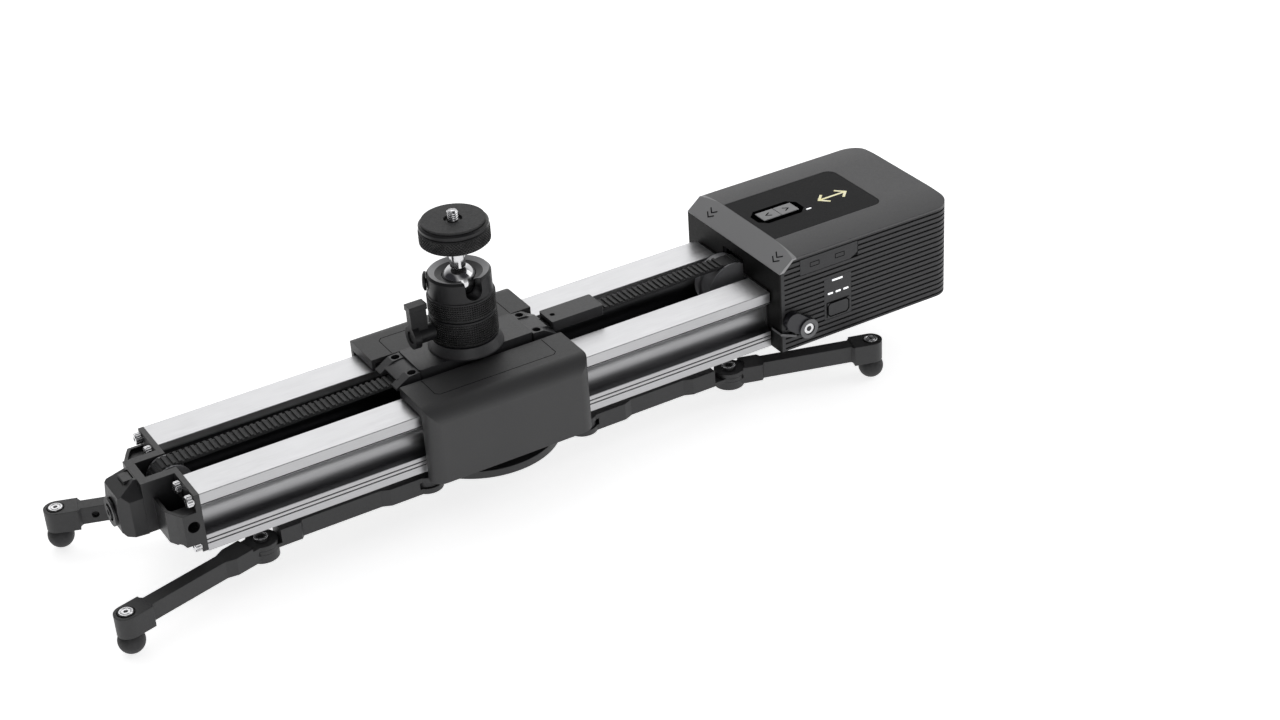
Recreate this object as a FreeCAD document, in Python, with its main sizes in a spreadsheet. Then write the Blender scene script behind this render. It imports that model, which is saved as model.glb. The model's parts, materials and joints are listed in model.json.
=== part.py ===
import FreeCAD, Part
import math
import os
import Sketcher

# Motorised double-travel camera slider with folding legs and a ball head.
# The frame's origin is the mouth of the tripod thread in the base disc. +X runs along the rails towards the
# motor unit, -Y is the operating side with the power button, and +Z is up.

SIZES = {
    # rails
    "rail_start": -173.5,
    "rail_length": 340.0,
    "rail_bottom": 16.0,
    "rail_height": 34.2,
    "rail_inner": 17.0,
    "rail_outer": 38.5,
    "track_low": 9.4,
    "track_high": 27.3,
    "track_depth_outer": 6.5,
    "track_depth_inner": 5.0,
    "groove_depth": 0.5,
    # left end bracket and tensioner
    "plate_thick": 3.0,
    "bracket_reach": 21.0,
    "frame_half": 13.0,
    "window_half": 7.6,
    "window_reach": 16.5,
    "gusset_reach": 16.0,
    "ear_reach": 10.5,
    "ear_top": 24.5,
    "side_thread": 3.2,
    "side_thread_depth": 9.0,
    "nose_reach": 12.0,
    "knob_radius": 7.8,
    "knob_z": 32.3,
    # belt drive
    "idler_x": -175.5,
    "idler_z": 40.0,
    "idler_pitch": 8.5,
    "drive_x": 162.5,
    "drive_z": 40.0,
    "drive_pitch": 13.9,
    "belt_width": 10.0,
    "belt_thick": 1.3,
    "tooth_height": 0.9,
    "tooth_pitch": 3.3,
    "flange_lip": 1.6,
    "axle_radius": 2.45,
    "gear_radius": 15.2,
    "pinion_radius": 9.8,
    # carriage
    "carriage_x": -3.0,
    "carriage_length": 97.0,
    "cover_outer": 50.0,
    "cover_inner": 17.0,
    "cover_top": 57.0,
    "cover_bottom": 12.4,
    "cover_round": 9.3,
    "cover_corner": 7.0,
    "cover_wall": 2.6,
    "deck_top": 60.0,
    "deck_half": 12.6,
    "deck_length": 68.0,
    # base
    "disc_radius": 44.5,
    "disc_height": 4.4,
    "tripod_thread": 3.97,
    "thread_depth": 9.5,
    "block_top": 11.2,
    "block_half_length": 38.0,
    "block_half_width": 33.0,
    "inner_hinge_x": 47.5,
    "hinge_y": 30.0,
    "outer_hinge_x": 143.0,
    "knuckle_radius": 8.5,
    "pin_radius": 2.4,
    "running_gap": 0.05,
    # legs
    "link_bottom": 1.2,
    "arm_height": 10.0,
    "arm_half_width": 4.0,
    "block_half": 6.2,
    "leg_length": 84.2,
    "leg_bottom": -2.5,
    "foot_radius": 7.1,
    "foot_centre": -8.9,
    "end_radius": 6.5,
    "end_reach": 11.5,
    # motor unit
    "motor_start": 167.5,
    "motor_length": 119.0,
    "motor_half_width": 47.5,
    "motor_bottom": 15.2,
    "shell_top": 71.0,
    "motor_top": 74.5,
    "motor_corner": 11.0,
    "shell_wall": 2.6,
    "rib_pitch": 3.1,
    "rib_depth": 0.9,
    # ball head
    "flange_radius": 20.5,
    "band_radius": 17.9,
    "housing_radius": 17.3,
    "head_low": 66.0,
    "band_top": 92.0,
    "housing_top": 104.0,
    "ball_radius": 9.6,
    "ball_z": 98.0,
    "stem_radius": 4.25,
    "mouth_radius": 9.2,
    "mouth_lip": 16.2,
    "platform_low": 121.3,
    "platform_top": 133.0,
    "platform_radius": 18.6,
    "camera_screw": 3.175,
}

doc = FreeCAD.newDocument("camera_slider")
sheet = doc.addObject("Spreadsheet::Sheet", "sizes")
for row, (alias, number) in enumerate(SIZES.items(), start=1):
    sheet.set(f"A{row}", alias)
    sheet.set(f"B{row}", str(number))
    sheet.setAlias(f"B{row}", alias)
doc.recompute()


def size(alias):
    """A driving dimension, read back from the sheet."""
    return float(sheet.get(alias))


rail_top = size("rail_bottom") + size("rail_height")
rail_end = size("rail_start") + size("rail_length")
NODES = []


def bind(target, name, value):
    """Set a property from a number, or bind it to the sheet when the value is an expression."""
    if isinstance(value, str):
        target.setExpression(name, value)
    elif name.startswith("Placement.Base."):
        base = target.Placement.Base
        setattr(base, name[-1], value)
        target.Placement = FreeCAD.Placement(base, target.Placement.Rotation)
    else:
        setattr(target, name, value)


def place(target, x, y, z, rotation=None):
    if rotation is not None:
        target.Placement = FreeCAD.Placement(FreeCAD.Vector(0, 0, 0), rotation)
    bind(target, "Placement.Base.x", x)
    bind(target, "Placement.Base.y", y)
    bind(target, "Placement.Base.z", z)
    return target


def turn(axis, degrees):
    return FreeCAD.Rotation(FreeCAD.Vector(*axis), degrees)


ALONG_X = turn((0, 1, 0), 90)
ALONG_Y = turn((1, 0, 0), -90)


def box(x, y, z, length, width, height):
    """A box from its low corner."""
    item = doc.addObject("Part::Box", "block")
    bind(item, "Length", length)
    bind(item, "Width", width)
    bind(item, "Height", height)
    return place(item, x, y, z)


def cylinder(x, y, z, radius, height, rotation=None):
    item = doc.addObject("Part::Cylinder", "rod")
    bind(item, "Radius", radius)
    bind(item, "Height", height)
    return place(item, x, y, z, rotation)


def cone(x, y, z, low_radius, high_radius, height, rotation=None):
    item = doc.addObject("Part::Cone", "taper")
    bind(item, "Radius1", low_radius)
    bind(item, "Radius2", high_radius)
    bind(item, "Height", height)
    return place(item, x, y, z, rotation)


def sphere(x, y, z, radius):
    item = doc.addObject("Part::Sphere", "globe")
    bind(item, "Radius", radius)
    return place(item, x, y, z)


def fuse(*items):
    if len(items) == 1:
        return items[0]
    item = doc.addObject("Part::MultiFuse", "joined")
    item.Shapes = list(items)
    item.Refine = True
    return item


def cut(base, *tools):
    item = doc.addObject("Part::Cut", "trimmed")
    item.Base = base
    item.Tool = fuse(*tools)
    item.Refine = True
    return item


def group(*items):
    """Separate solids kept in one node."""
    item = doc.addObject("Part::Compound", "group")
    item.Links = list(items)
    return item


def node(label, item):
    item.Label = label
    NODES.append(item)
    return item


def draw(sketch, outline, circles=()):
    """Closed outline of points: (u, v) is a line to a point, (mu, mv, u, v) an arc through a middle point."""
    def spot(u, v):
        return FreeCAD.Vector(u, v, 0)

    first = outline[0][-2:]
    last = first
    for step in list(outline[1:]) + [first]:
        if math.dist(last, step[-2:]) < 1e-7:
            continue
        if len(step) == 4:
            edge = Part.Arc(spot(*last), spot(*step[:2]), spot(*step[2:]))
        else:
            edge = Part.LineSegment(spot(*last), spot(*step))
        sketch.addGeometry(edge, False)
        last = step[-2:]
    for u, v, radius in circles:
        sketch.addGeometry(Part.Circle(spot(u, v), FreeCAD.Vector(0, 0, 1), radius), False)


def body_sketch(plane, outline, circles=(), offset=0.0):
    body = doc.addObject("PartDesign::Body", "body")
    sketch = body.newObject("Sketcher::SketchObject", "outline")
    origin_plane = [item for item in body.Origin.OriginFeatures if item.Role == plane][0]
    sketch.AttachmentSupport = [(origin_plane, "")]
    sketch.MapMode = "FlatFace"
    sketch.AttachmentOffset = FreeCAD.Placement(FreeCAD.Vector(0, 0, offset), FreeCAD.Rotation())
    draw(sketch, outline, circles)
    return body, sketch


def pad(plane, outline, length, circles=(), offset=0.0):
    """A body with one padded outline. XY pads rise in +Z, YZ pads run in +X and XZ pads run in -Y."""
    body, sketch = body_sketch(plane, outline, circles, offset)
    feature = body.newObject("PartDesign::Pad", "pad")
    feature.Profile = sketch
    bind(feature, "Length", length)
    return body


def revolve(outline, angle=360.0):
    """A body turned about the vertical axis from an outline of (radius, height)."""
    body, sketch = body_sketch("XZ_Plane", outline)
    feature = body.newObject("PartDesign::Revolution", "turned")
    feature.Profile = sketch
    feature.ReferenceAxis = (sketch, ["V_Axis"])
    bind(feature, "Angle", angle)
    return body


def soften(body, radius, keep):
    """Round the edges of a body that the test keeps."""
    doc.recompute()
    tip = body.Tip
    names = [f"Edge{i}" for i, edge in enumerate(tip.Shape.Edges, start=1) if keep(edge)]
    feature = body.newObject("PartDesign::Fillet", "rounded")
    feature.Base = (tip, names)
    bind(feature, "Radius", radius)
    return body


def edge_middle(edge):
    return edge.valueAt((edge.FirstParameter + edge.LastParameter) / 2)


def edge_along(edge, axis):
    """True when a straight edge runs along one axis: 0 for X, 1 for Y, 2 for Z."""
    ends = [vertex.Point for vertex in edge.Vertexes]
    if len(ends) != 2 or not isinstance(edge.Curve, Part.Line):
        return False
    run = ends[1] - ends[0]
    return abs(abs((run.x, run.y, run.z)[axis]) - run.Length) < 1e-6


def rounded_box(x0, x1, y0, y1, radius):
    """Plan outline of a rectangle with round corners."""
    near = radius * (1 - math.sqrt(0.5))
    return [
        (x0 + radius, y0),
        (x1 - radius, y0),
        (x1 - near, y0 + near, x1, y0 + radius),
        (x1, y1 - radius),
        (x1 - near, y1 - near, x1 - radius, y1),
        (x0 + radius, y1),
        (x0 + near, y1 - near, x0, y1 - radius),
        (x0, y0 + radius),
        (x0 + near, y0 + near, x0 + radius, y0),
    ]


def socket_screw(x, y, z, rotation, head_radius, head_height, shank_radius, shank_length):
    """Socket-head screw: its head's seat is at the given place and its shank runs back from there."""
    head = cylinder(0, 0, 0, head_radius, head_height)
    socket = cylinder(0, 0, head_height * 0.45, head_radius * 0.5, head_height)
    shank = cylinder(0, 0, -shank_length, shank_radius, shank_length)
    screw = cut(fuse(head, shank), socket)
    return place(screw, x, y, z, rotation)


# ---------------------------------------------------------------- rails

SCREW_SPOTS = [(35.5, 30.3), (20.0, 30.3), (35.5, 3.7)]
INNER_SCREW_SPOTS = SCREW_SPOTS[1:2]
SCREW_BORE = 1.5
SCREW_HEAD = 3.0
SCREW_HEAD_HEIGHT = 3.6
WEB_BORE = 3.2


def rail_outline(side):
    """Rail section: flat top, a concave roller track on each flank and two fine grooves on the lower lip."""
    low = size("rail_bottom")
    outer = size("rail_outer")
    inner = size("rail_inner")
    nick = outer - size("groove_depth")
    bottom_track = low + size("track_low")
    top_track = low + size("track_high")
    middle = (bottom_track + top_track) / 2
    bevel = 0.25
    section = [(outer - bevel, rail_top), (outer, rail_top - bevel)]
    section += [(outer, top_track + 0.9), (nick, top_track + 0.7), (nick, top_track + 0.3), (outer, top_track)]
    section += [(outer - size("track_depth_outer"), middle, outer, bottom_track)]
    for groove in (6.8, 4.5):
        section += [(outer, low + groove + 0.4), (nick, low + groove + 0.2)]
        section += [(nick, low + groove - 0.2), (outer, low + groove - 0.4)]
    section += [(outer, low), (inner, low), (inner, bottom_track)]
    section += [(inner + size("track_depth_inner"), middle, inner, top_track)]
    section += [(inner, rail_top - bevel), (inner + bevel, rail_top)]
    mirrored = []
    for step in section:
        mirrored.append(tuple(side * value if i % 2 == 0 else value for i, value in enumerate(step)))
    bores = [(side * y, low + z, SCREW_BORE) for y, z in SCREW_SPOTS]
    bores.append((side * (inner + outer) / 2, middle, WEB_BORE))
    return mirrored, bores


def make_rails():
    for side, label in ((-1, "front_rail"), (1, "rear_rail")):
        outline, bores = rail_outline(side)
        rail = pad("YZ_Plane", outline, "sizes.rail_length", bores, size("rail_start"))
        node(label, rail)


# ---------------------------------------------------------------- end brackets

def gusset(side, wall_x, half):
    """Plan of one gusset and of the two levels of its pocket, as lists of (x, y)."""
    start = size("rail_start")
    outer = size("rail_outer")
    face = start - size("plate_thick")
    shape = [
        (wall_x, side * (half - 1)),
        (wall_x, side * 28.5),
        (wall_x + 3.3, side * 34.8),
        (start - size("ear_reach"), side * outer),
        (start, side * outer),
        (start, side * (half - 1)),
    ]
    shallow = [
        (wall_x + 1.8, side * half),
        (wall_x + 1.8, side * 27.9),
        (wall_x + 4.8, side * 33.8),
        (start - size("ear_reach") + 1.4, side * 36.8),
        (face, side * 36.8),
        (face, side * half),
    ]
    deep = [
        (wall_x + 1.8, side * half),
        (wall_x + 1.8, side * 27.0),
        (face, side * 27.0),
        (face, side * half),
    ]
    return shape, shallow, deep


def make_left_bracket():
    """Cast bracket: thin plate over the rail ends, side ears, pocketed gussets and the pulley frame."""
    start = size("rail_start")
    low = size("rail_bottom")
    outer = size("rail_outer")
    half = size("frame_half")
    plate = box(
        "sizes.rail_start - sizes.plate_thick", "-sizes.rail_outer", "sizes.rail_bottom + 0.6",
        "sizes.plate_thick", "2 * sizes.rail_outer", "sizes.rail_height - 0.6",
    )
    frame = box(
        "sizes.rail_start - sizes.bracket_reach", "-sizes.frame_half", "sizes.rail_bottom + 5",
        "sizes.bracket_reach", "2 * sizes.frame_half", "sizes.rail_height - 5",
    )
    pieces = [plate, frame]
    hollows = []
    for side in (-1, 1):
        shape, shallow, deep = gusset(side, start - size("gusset_reach"), half)
        pieces.append(pad("XY_Plane", shape, "sizes.ear_top - 6", offset=low + 6))
        hollows.append(pad("XY_Plane", shallow, 20.0, offset=low + 22.3))
        hollows.append(pad("XY_Plane", deep, 20.0, offset=low + 12.5))
        hollows.append(cylinder(
            "sizes.rail_start - 5.5", side * (outer + 0.1), low + 16.5,
            "sizes.side_thread", "sizes.side_thread_depth", turn((1, 0, 0), 90 * side),
        ))
        for y, z in SCREW_SPOTS:
            hollows.append(cylinder(start - 30, side * y, low + z, SCREW_HEAD + 0.3, 27.4, ALONG_X))
            hollows.append(cylinder(start - 4, side * y, low + z, 1.75, 5, ALONG_X))
    hollows.append(box(
        "sizes.rail_start - sizes.window_reach", "-sizes.window_half", low - 1,
        "sizes.window_reach + 1", "2 * sizes.window_half", 40.0,
    ))
    hollows.append(cylinder("sizes.idler_x", -20, "sizes.idler_z", 2.5, 40.0, ALONG_Y))
    node("left_end_bracket", cut(fuse(*pieces), *hollows))


def make_tensioner():
    """Faceted nose block that pulls the belt tight, with its clamping wedge, screw ring and bolt."""
    start = size("rail_start") - size("bracket_reach") - 0.02
    low = size("rail_bottom")
    half = size("frame_half")
    tip = start - size("nose_reach")
    side_view = [
        (start, low + 4.6),
        (start, rail_top),
        (start - 1.5, rail_top),
        (tip, low + 28.5),
        (tip - 1.2, low + 20.0),
        (tip - 0.6, low + 7.6),
        (tip + 1.2, low + 5.4),
    ]
    nose = pad("XZ_Plane", side_view, "2 * sizes.frame_half", offset=-half)
    facets = []
    for side in (-1, 1):
        slope = [
            (side * 6.3, rail_top + 0.6),
            (side * (half + 1), rail_top + 0.6),
            (side * (half + 1), low + 24.6),
        ]
        facets.append(pad("YZ_Plane", slope, 30.0, offset=tip - 5))
        corner = [(tip - 3, side * 7.0), (tip - 3, side * (half + 1)), (start - 6, side * (half + 1))]
        facets.append(pad("XY_Plane", corner, 45.0, offset=low))
    middle = size("knob_z")
    socket = cylinder(tip - 5, 0, middle, 6.2, 9.0, ALONG_X)
    seat = box(start - 6.4, -4.6, low + 26.5, 5.8, 9.2, 12)
    wedge = box(start - 6.1, -4.3, low + 26.6, 5.2, 8.6, 7.0)
    node("tensioner_nose", group(cut(nose, *facets, socket, seat), wedge))
    rim = size("knob_radius")
    profile = [
        (0, -3.4),
        (3.4, -3.4),
        (3.4, 0.4),
        (4.8, 0.4),
        (4.8, -2.7),
        (rim, -2.7),
        (rim, -1.5),
        (6.0, -1.5),
        (6.0, 3.6),
        (0, 3.6),
    ]
    knob = place(revolve(profile), tip, 0, middle, ALONG_X)
    node("tension_knob", cut(knob, cylinder(tip - 3.6, 0, middle, 1.7, 2.5, ALONG_X)))


def make_right_bracket():
    """Hidden plate that closes the rails inside the motor unit and carries the drive pulley."""
    low = size("rail_bottom")
    plate = box(rail_end, -34.0, low + 2.2, 8.0, 68.0, size("rail_height") - 2.4)
    gap = box(rail_end - 1, -13.0, low + 6.6, 20.0, 26.0, 40.0)
    holes = [cylinder("sizes.drive_x", -20, "sizes.drive_z", 2.5, 40.0, ALONG_Y)]
    arms = [box(rail_end - 14, y, low + 14, 14.1, 3.4, 16.0) for y in (-16.4, 13.0)]
    for side in (-1, 1):
        for y, z in INNER_SCREW_SPOTS:
            holes.append(cylinder(rail_end - 1, side * y, low + z, 1.75, 12.0, ALONG_X))
            holes.append(cylinder(rail_end + 4, side * y, low + z, SCREW_HEAD + 0.3, 9.0, ALONG_X))
    node("right_end_bracket", cut(fuse(cut(plate, gap), *arms), *holes))


def make_bracket_screws():
    low = size("rail_bottom")
    screws = []
    left_seat = size("rail_start") - size("plate_thick") - 0.02
    for side in (-1, 1):
        for y, z in SCREW_SPOTS:
            spin = turn((0, 1, 0), -90)
            screws.append(socket_screw(
                left_seat, side * y, low + z, spin, SCREW_HEAD, SCREW_HEAD_HEIGHT, 1.45, 12.0,
            ))
        for y, z in INNER_SCREW_SPOTS:
            screws.append(socket_screw(
                rail_end + 4.02, side * y, low + z, ALONG_X, SCREW_HEAD, SCREW_HEAD_HEIGHT, 1.45, 12.0,
            ))
    node("bracket_screws", group(*screws))


# ---------------------------------------------------------------- belt drive

GEAR_Y = 6.4
GEAR_WIDTH = 3.4


def belt_points(extra):
    """Centres, radii and wrap angle of the loop that runs round both pulleys."""
    small = size("idler_pitch") + extra
    large = size("drive_pitch") + extra
    run = size("drive_x") - size("idler_x")
    rise = size("drive_z") - size("idler_z")
    reach = math.hypot(run, rise)
    lean = math.atan2(rise, run)
    spread = math.asin((large - small) / reach)
    return small, large, lean, spread


def loop_outline(extra):
    """Outline of a belt loop at one offset from the pulleys' faces, as (x, z)."""
    small, large, lean, spread = belt_points(extra)
    upper = math.pi / 2 + lean + spread
    lower = -math.pi / 2 + lean - spread
    centres = {"idler": (size("idler_x"), size("idler_z")), "drive": (size("drive_x"), size("drive_z"))}

    def rim(wheel, radius, angle):
        x, z = centres[wheel]
        return (x + radius * math.cos(angle), z + radius * math.sin(angle))

    return [
        rim("idler", small, upper),
        rim("drive", large, upper),
        rim("drive", large, lean) + rim("drive", large, lower),
        rim("idler", small, lower),
        rim("idler", small, lean + math.pi) + rim("idler", small, upper),
    ]


def make_belt():
    """Toothed belt with its teeth outwards: a smooth loop with square teeth along both strands."""
    gap = 0.25
    width = size("belt_width")
    thick = size("belt_thick")
    outer = pad("XZ_Plane", loop_outline(gap + thick), "sizes.belt_width", offset=-width / 2)
    inner = pad("XZ_Plane", loop_outline(gap), width + 2, offset=-width / 2 - 1)
    loop = cut(outer, inner)
    small, large, lean, spread = belt_points(gap + thick)
    teeth = []
    pitch = size("tooth_pitch")
    height = size("tooth_height")
    for side, tilt in ((1, lean + spread), (-1, lean - spread)):
        foot_x = size("idler_x") - side * small * math.sin(tilt)
        foot_z = size("idler_z") + side * small * math.cos(tilt)
        count = int(size("rail_length") / pitch)
        for number in range(1, count):
            along = number * pitch - 4.0
            x = foot_x + along * math.cos(tilt)
            z = foot_z + along * math.sin(tilt)
            tooth = Part.makeBox(pitch * 0.5, width, height + 0.2)
            tooth.translate(FreeCAD.Vector(-pitch * 0.25, -width / 2, -0.2 if side > 0 else -height))
            tooth.rotate(FreeCAD.Vector(0, 0, 0), FreeCAD.Vector(0, 1, 0), -math.degrees(tilt))
            tooth.translate(FreeCAD.Vector(x, 0, z))
            teeth.append(tooth)
    for wheel, radius, first, last in (("idler", small, 90, 270), ("drive", large, -90, 90)):
        centre_x = size(wheel + "_x")
        centre_z = size(wheel + "_z")
        count = int(math.radians(last - first) * radius / pitch)
        for number in range(1, count):
            angle = math.radians(first + (last - first) * number / count)
            tooth = Part.makeBox(height + 0.2, width, pitch * 0.5)
            tooth.translate(FreeCAD.Vector(radius - 0.2, -width / 2, -pitch * 0.25))
            tooth.rotate(FreeCAD.Vector(0, 0, 0), FreeCAD.Vector(0, 1, 0), -math.degrees(angle))
            tooth.translate(FreeCAD.Vector(centre_x, 0, centre_z))
            teeth.append(tooth)
    doc.recompute()
    belt = doc.addObject("Part::Feature", "toothed")
    belt.Shape = loop.Shape.fuse(teeth)
    node("belt", belt)


def pulley(wheel, axle_radius):
    """Smooth-faced pulley with a thin flange on each side, turning about Y."""
    face = size(wheel + "_pitch")
    rim = face + size("flange_lip")
    half = size("belt_width") / 2 + 0.35
    flange = 1.1
    profile = [
        (axle_radius, -half - flange),
        (rim, -half - flange),
        (rim, -half),
        (face, -half),
        (face, half),
        (rim, half),
        (rim, half + flange),
        (axle_radius, half + flange),
    ]
    return place(revolve(profile), f"sizes.{wheel}_x", 0, f"sizes.{wheel}_z", turn((1, 0, 0), -90))


def make_pulleys():
    """Idler and drive pulleys, the gear behind the drive pulley and the two axles."""
    clear = size("running_gap")
    axle = size("axle_radius")
    node("idler_pulley", pulley("idler", axle + clear))
    gear = cylinder("sizes.drive_x", GEAR_Y, "sizes.drive_z", "sizes.gear_radius", GEAR_WIDTH, ALONG_Y)
    bore = cylinder("sizes.drive_x", -10, "sizes.drive_z", axle + clear, 30, ALONG_Y)
    node("drive_pulley", cut(fuse(pulley("drive", axle + clear), gear), bore))
    idler_axle = cylinder("sizes.idler_x", -12.9, "sizes.idler_z", axle, 25.8, ALONG_Y)
    drive_axle = cylinder("sizes.drive_x", -16.2, "sizes.drive_z", axle, 32.4, ALONG_Y)
    node("pulley_axles", group(idler_axle, drive_axle))


# ---------------------------------------------------------------- carriage

ROLLER_X = 32.0
ROLLER_Y = 40.7


def cover_plan(side, inset):
    """Plan of a side cover, or of the room inside it when it is inset."""
    centre = size("carriage_x")
    half = size("carriage_length") / 2 - inset
    outer = size("cover_outer") - inset
    inner = size("cover_inner") - (1.0 if inset else 0.0)
    corner = size("cover_corner") - inset
    near = corner * 0.293
    return [
        (centre - half, side * inner),
        (centre - half, side * (outer - corner)),
        (centre - half + near, side * (outer - near), centre - half + corner, side * outer),
        (centre + half - corner, side * outer),
        (centre + half - near, side * (outer - near), centre + half, side * (outer - corner)),
        (centre + half, side * inner),
    ]


def cover(side):
    """Side cover: one long round over its outer top edge, round upright corners, open inside and below."""
    outer = size("cover_outer")
    wall = size("cover_wall")
    low = size("cover_bottom")
    top = size("cover_top")
    left = size("carriage_x") - size("carriage_length") / 2 - 1
    length = size("carriage_length") + 2
    block = pad("XY_Plane", cover_plan(side, 0), "sizes.cover_top - sizes.cover_bottom", offset=low)
    fall = size("cover_round")
    shaves = []
    for inset in (0, wall):
        far = outer - inset
        high = top - inset
        rounding = [
            (side * (far - fall), high),
            (side * (far - 0.32 * fall), high - 0.26 * fall, side * far, high - fall),
            (side * (outer + 1), high - fall),
            (side * (outer + 1), top + 1),
            (side * (far - fall), top + 1),
        ]
        shaves.append(pad("YZ_Plane", rounding, length, offset=left))
    hollow = cut(pad("XY_Plane", cover_plan(side, wall), top - wall - low + 1, offset=low - 1), shaves[1])
    near_y, far_y = sorted((side * (size("cover_inner") - 1), side * (outer - 8.6)))
    passage = box(left, near_y, low - 1, length, far_y - near_y, rail_top + 2.2 - low)
    return cut(block, shaves[0], hollow, passage)


def make_covers():
    node("front_cover", cover(-1))
    node("rear_cover", cover(1))


def make_deck():
    """Chassis under the covers and the raised centre plate that carries the ball head over the belt."""
    centre = size("carriage_x")
    low = rail_top + 0.8
    thick = 1.6
    chassis = box(centre - 42, -42.6, low, 84, 85.2, thick)
    posts = []
    holes = []
    screws = []
    for side in (-1, 1):
        for end in (-1, 1):
            x = centre + end * ROLLER_X
            posts.append(cylinder(x, side * ROLLER_Y, low - 3, 1.9, 3.2))
            x = centre + end * 16.0
            holes.append(cylinder(x, side * 14.9, low - 1, 0.95, 5))
            screws.append(socket_screw(x, side * 14.9, low + thick + 0.02, None, 1.6, 1.6, 0.9, 1.5))
    belt_slot = box(centre - 44, -6.4, low - 1, 88, 12.8, 4)
    bridge = box(centre - 8, -9.0, low - 5.4, 16, 18.0, 1.2)
    webs = [box(centre - 8, y, low - 5.4, 16, 2.0, 5.6) for y in (-9.0, 7.0)]
    node("chassis", fuse(cut(fuse(chassis, *posts), belt_slot, *holes), bridge, *webs))
    deck_low = low + thick + 0.02
    half = size("deck_length") / 2
    plan = rounded_box(centre - half, centre + half, -size("deck_half"), size("deck_half"), 1.5)
    plate = pad("XY_Plane", plan, size("deck_top") - deck_low, offset=deck_low)
    belt_way = box(centre - half - 1, -6.4, deck_low - 1, 2 * half + 2, 12.8, 56.4 - deck_low + 1)
    node("centre_plate", cut(plate, belt_way))
    return screws


def belt_clamp(end, middle_low):
    """Belt clamp at one end of the deck: two sloping arms beside the belt and a curved plate over it."""
    centre = size("carriage_x")
    root = centre + end * (size("deck_length") / 2 + 0.05)
    tip = root + end * 14.5
    top = size("deck_top") - 0.8
    width = 6.3
    pieces = []
    for y in (12.9, width - 12.9):
        slope = [
            (root, top),
            (root + end * 6.5, top - 0.4),
            (tip, rail_top + 3.8),
            (tip, rail_top + 2.6),
            (root, rail_top + 2.6),
        ]
        arm = pad("XZ_Plane", slope, width, offset=-y)
        pieces.append(cut(arm, cylinder(root + end * 3.6, y - width / 2, rail_top, 2.3, 20)))
    middle = [
        (root, top - 0.6),
        (root + end * 6.0, top - 1.2, root + end * 11.5, middle_low + 1.0),
        (root + end * 11.5, middle_low),
        (root, middle_low),
    ]
    pieces.append(pad("XZ_Plane", middle, 14.8, offset=-7.4))
    return fuse(*pieces)


def make_clamps():
    """Belt clamps at both ends of the deck and the channel that grips the belt towards the motor."""
    left = belt_clamp(-1, 55.0)
    right = belt_clamp(1, 56.3)
    root = size("carriage_x") + size("deck_length") / 2 + 14.7
    length = 32.0
    low = rail_top + 2.4
    plan = rounded_box(root, root + length, -7.6, 7.6, 1.0)
    channel = pad("XY_Plane", plan, 5.9, [(root + 4.2, 0.0, 1.5)], offset=low)
    belt_way = box(root - 1, -5.5, low - 1, length + 2, 11.0, 5.0)
    node("belt_clamps", group(left, right, cut(channel, belt_way)))


def roller(x, y, z, radius, half_height, bore):
    """Roller with an upright axis and bevelled rims that meet the flanks of a rail's track."""
    profile = [
        (bore, -half_height),
        (radius - 0.8, -half_height),
        (radius, -half_height + 0.8),
        (radius, half_height - 0.8),
        (radius - 0.8, half_height),
        (bore, half_height),
    ]
    return place(revolve(profile), x, y, z)


def make_rollers(screws):
    """Carriage rollers on their axles, and the base's glides that run in the rails' inner tracks."""
    middle = size("rail_bottom") + (size("track_low") + size("track_high")) / 2
    axle = 1.5
    bore = axle + size("running_gap")
    axles = []
    glides = []
    for side, row_name in ((-1, "front"), (1, "rear")):
        for end, end_name in ((-1, "left"), (1, "right")):
            x = size("carriage_x") + end * ROLLER_X
            wheel = roller(x, side * ROLLER_Y, middle, 6.4, 5.6, bore)
            node(f"roller_{row_name}_{end_name}", wheel)
            axles.append(cylinder(x, side * ROLLER_Y, middle - 7.0, axle, rail_top - 2.22 - middle + 7.0))
            axles.append(cylinder(x, side * ROLLER_Y, middle - 7.0, 2.4, 1.2))
            x = end * 24.0
            stud = cylinder(x, side * 13.0, 19.02, 2.5, middle - 19.02)
            glides.append(fuse(stud, roller(x, side * 13.0, middle, 6.0, 5.0, 0)))
    node("carriage_fasteners", group(*[fuse(*axles[i:i + 2]) for i in range(0, len(axles), 2)], *screws))
    node("base_glides", group(*glides))


# ---------------------------------------------------------------- base

def make_base():
    """Round tripod disc with its central thread, and the block that carries the legs and the glides."""
    disc = cylinder(0, 0, 0, "sizes.disc_radius", "sizes.disc_height")
    boss = cylinder(0, 0, 0, 9.0, 10.5)
    thread = cylinder(0, 0, -1, "sizes.tripod_thread", "sizes.thread_depth + 1")
    node("base_disc", cut(fuse(disc, boss), thread))
    low = size("disc_height") + 0.02
    slab = box(
        "-sizes.block_half_length", "-sizes.block_half_width", low,
        "2 * sizes.block_half_length", "2 * sizes.block_half_width", f"sizes.block_top - {low}",
    )
    core = box(-31.0, -15.6, 11.0, 62.0, 31.2, 8.0)
    lugs = []
    for end in (-1, 1):
        for side in (-1, 1):
            x = end * size("inner_hinge_x")
            y = side * size("hinge_y")
            low_x = min(x, end * 36.0)
            lugs.append(box(low_x, y - 6.5, 4.6, abs(x - end * 36.0), 13.0, 3.6))
            lugs.append(cylinder(x, y, 4.6, 7.4, 3.6))
    holes = [cylinder(0, 0, 0, 9.02, 10.6)]
    for end in (-1, 1):
        for side in (-1, 1):
            holes.append(cylinder(end * size("inner_hinge_x"), side * size("hinge_y"), 0, 2.45, 12.0))
    node("base_block", cut(fuse(slab, core, *lugs), *holes))
    jaw = box(-10, -8.4, 19.02, 20, 16.8, 14.2)
    slot = box(-11, -5.6, 23.2, 22, 11.2, 7.2)
    node("base_belt_clamp", cut(jaw, slot))


# ---------------------------------------------------------------- legs

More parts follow.
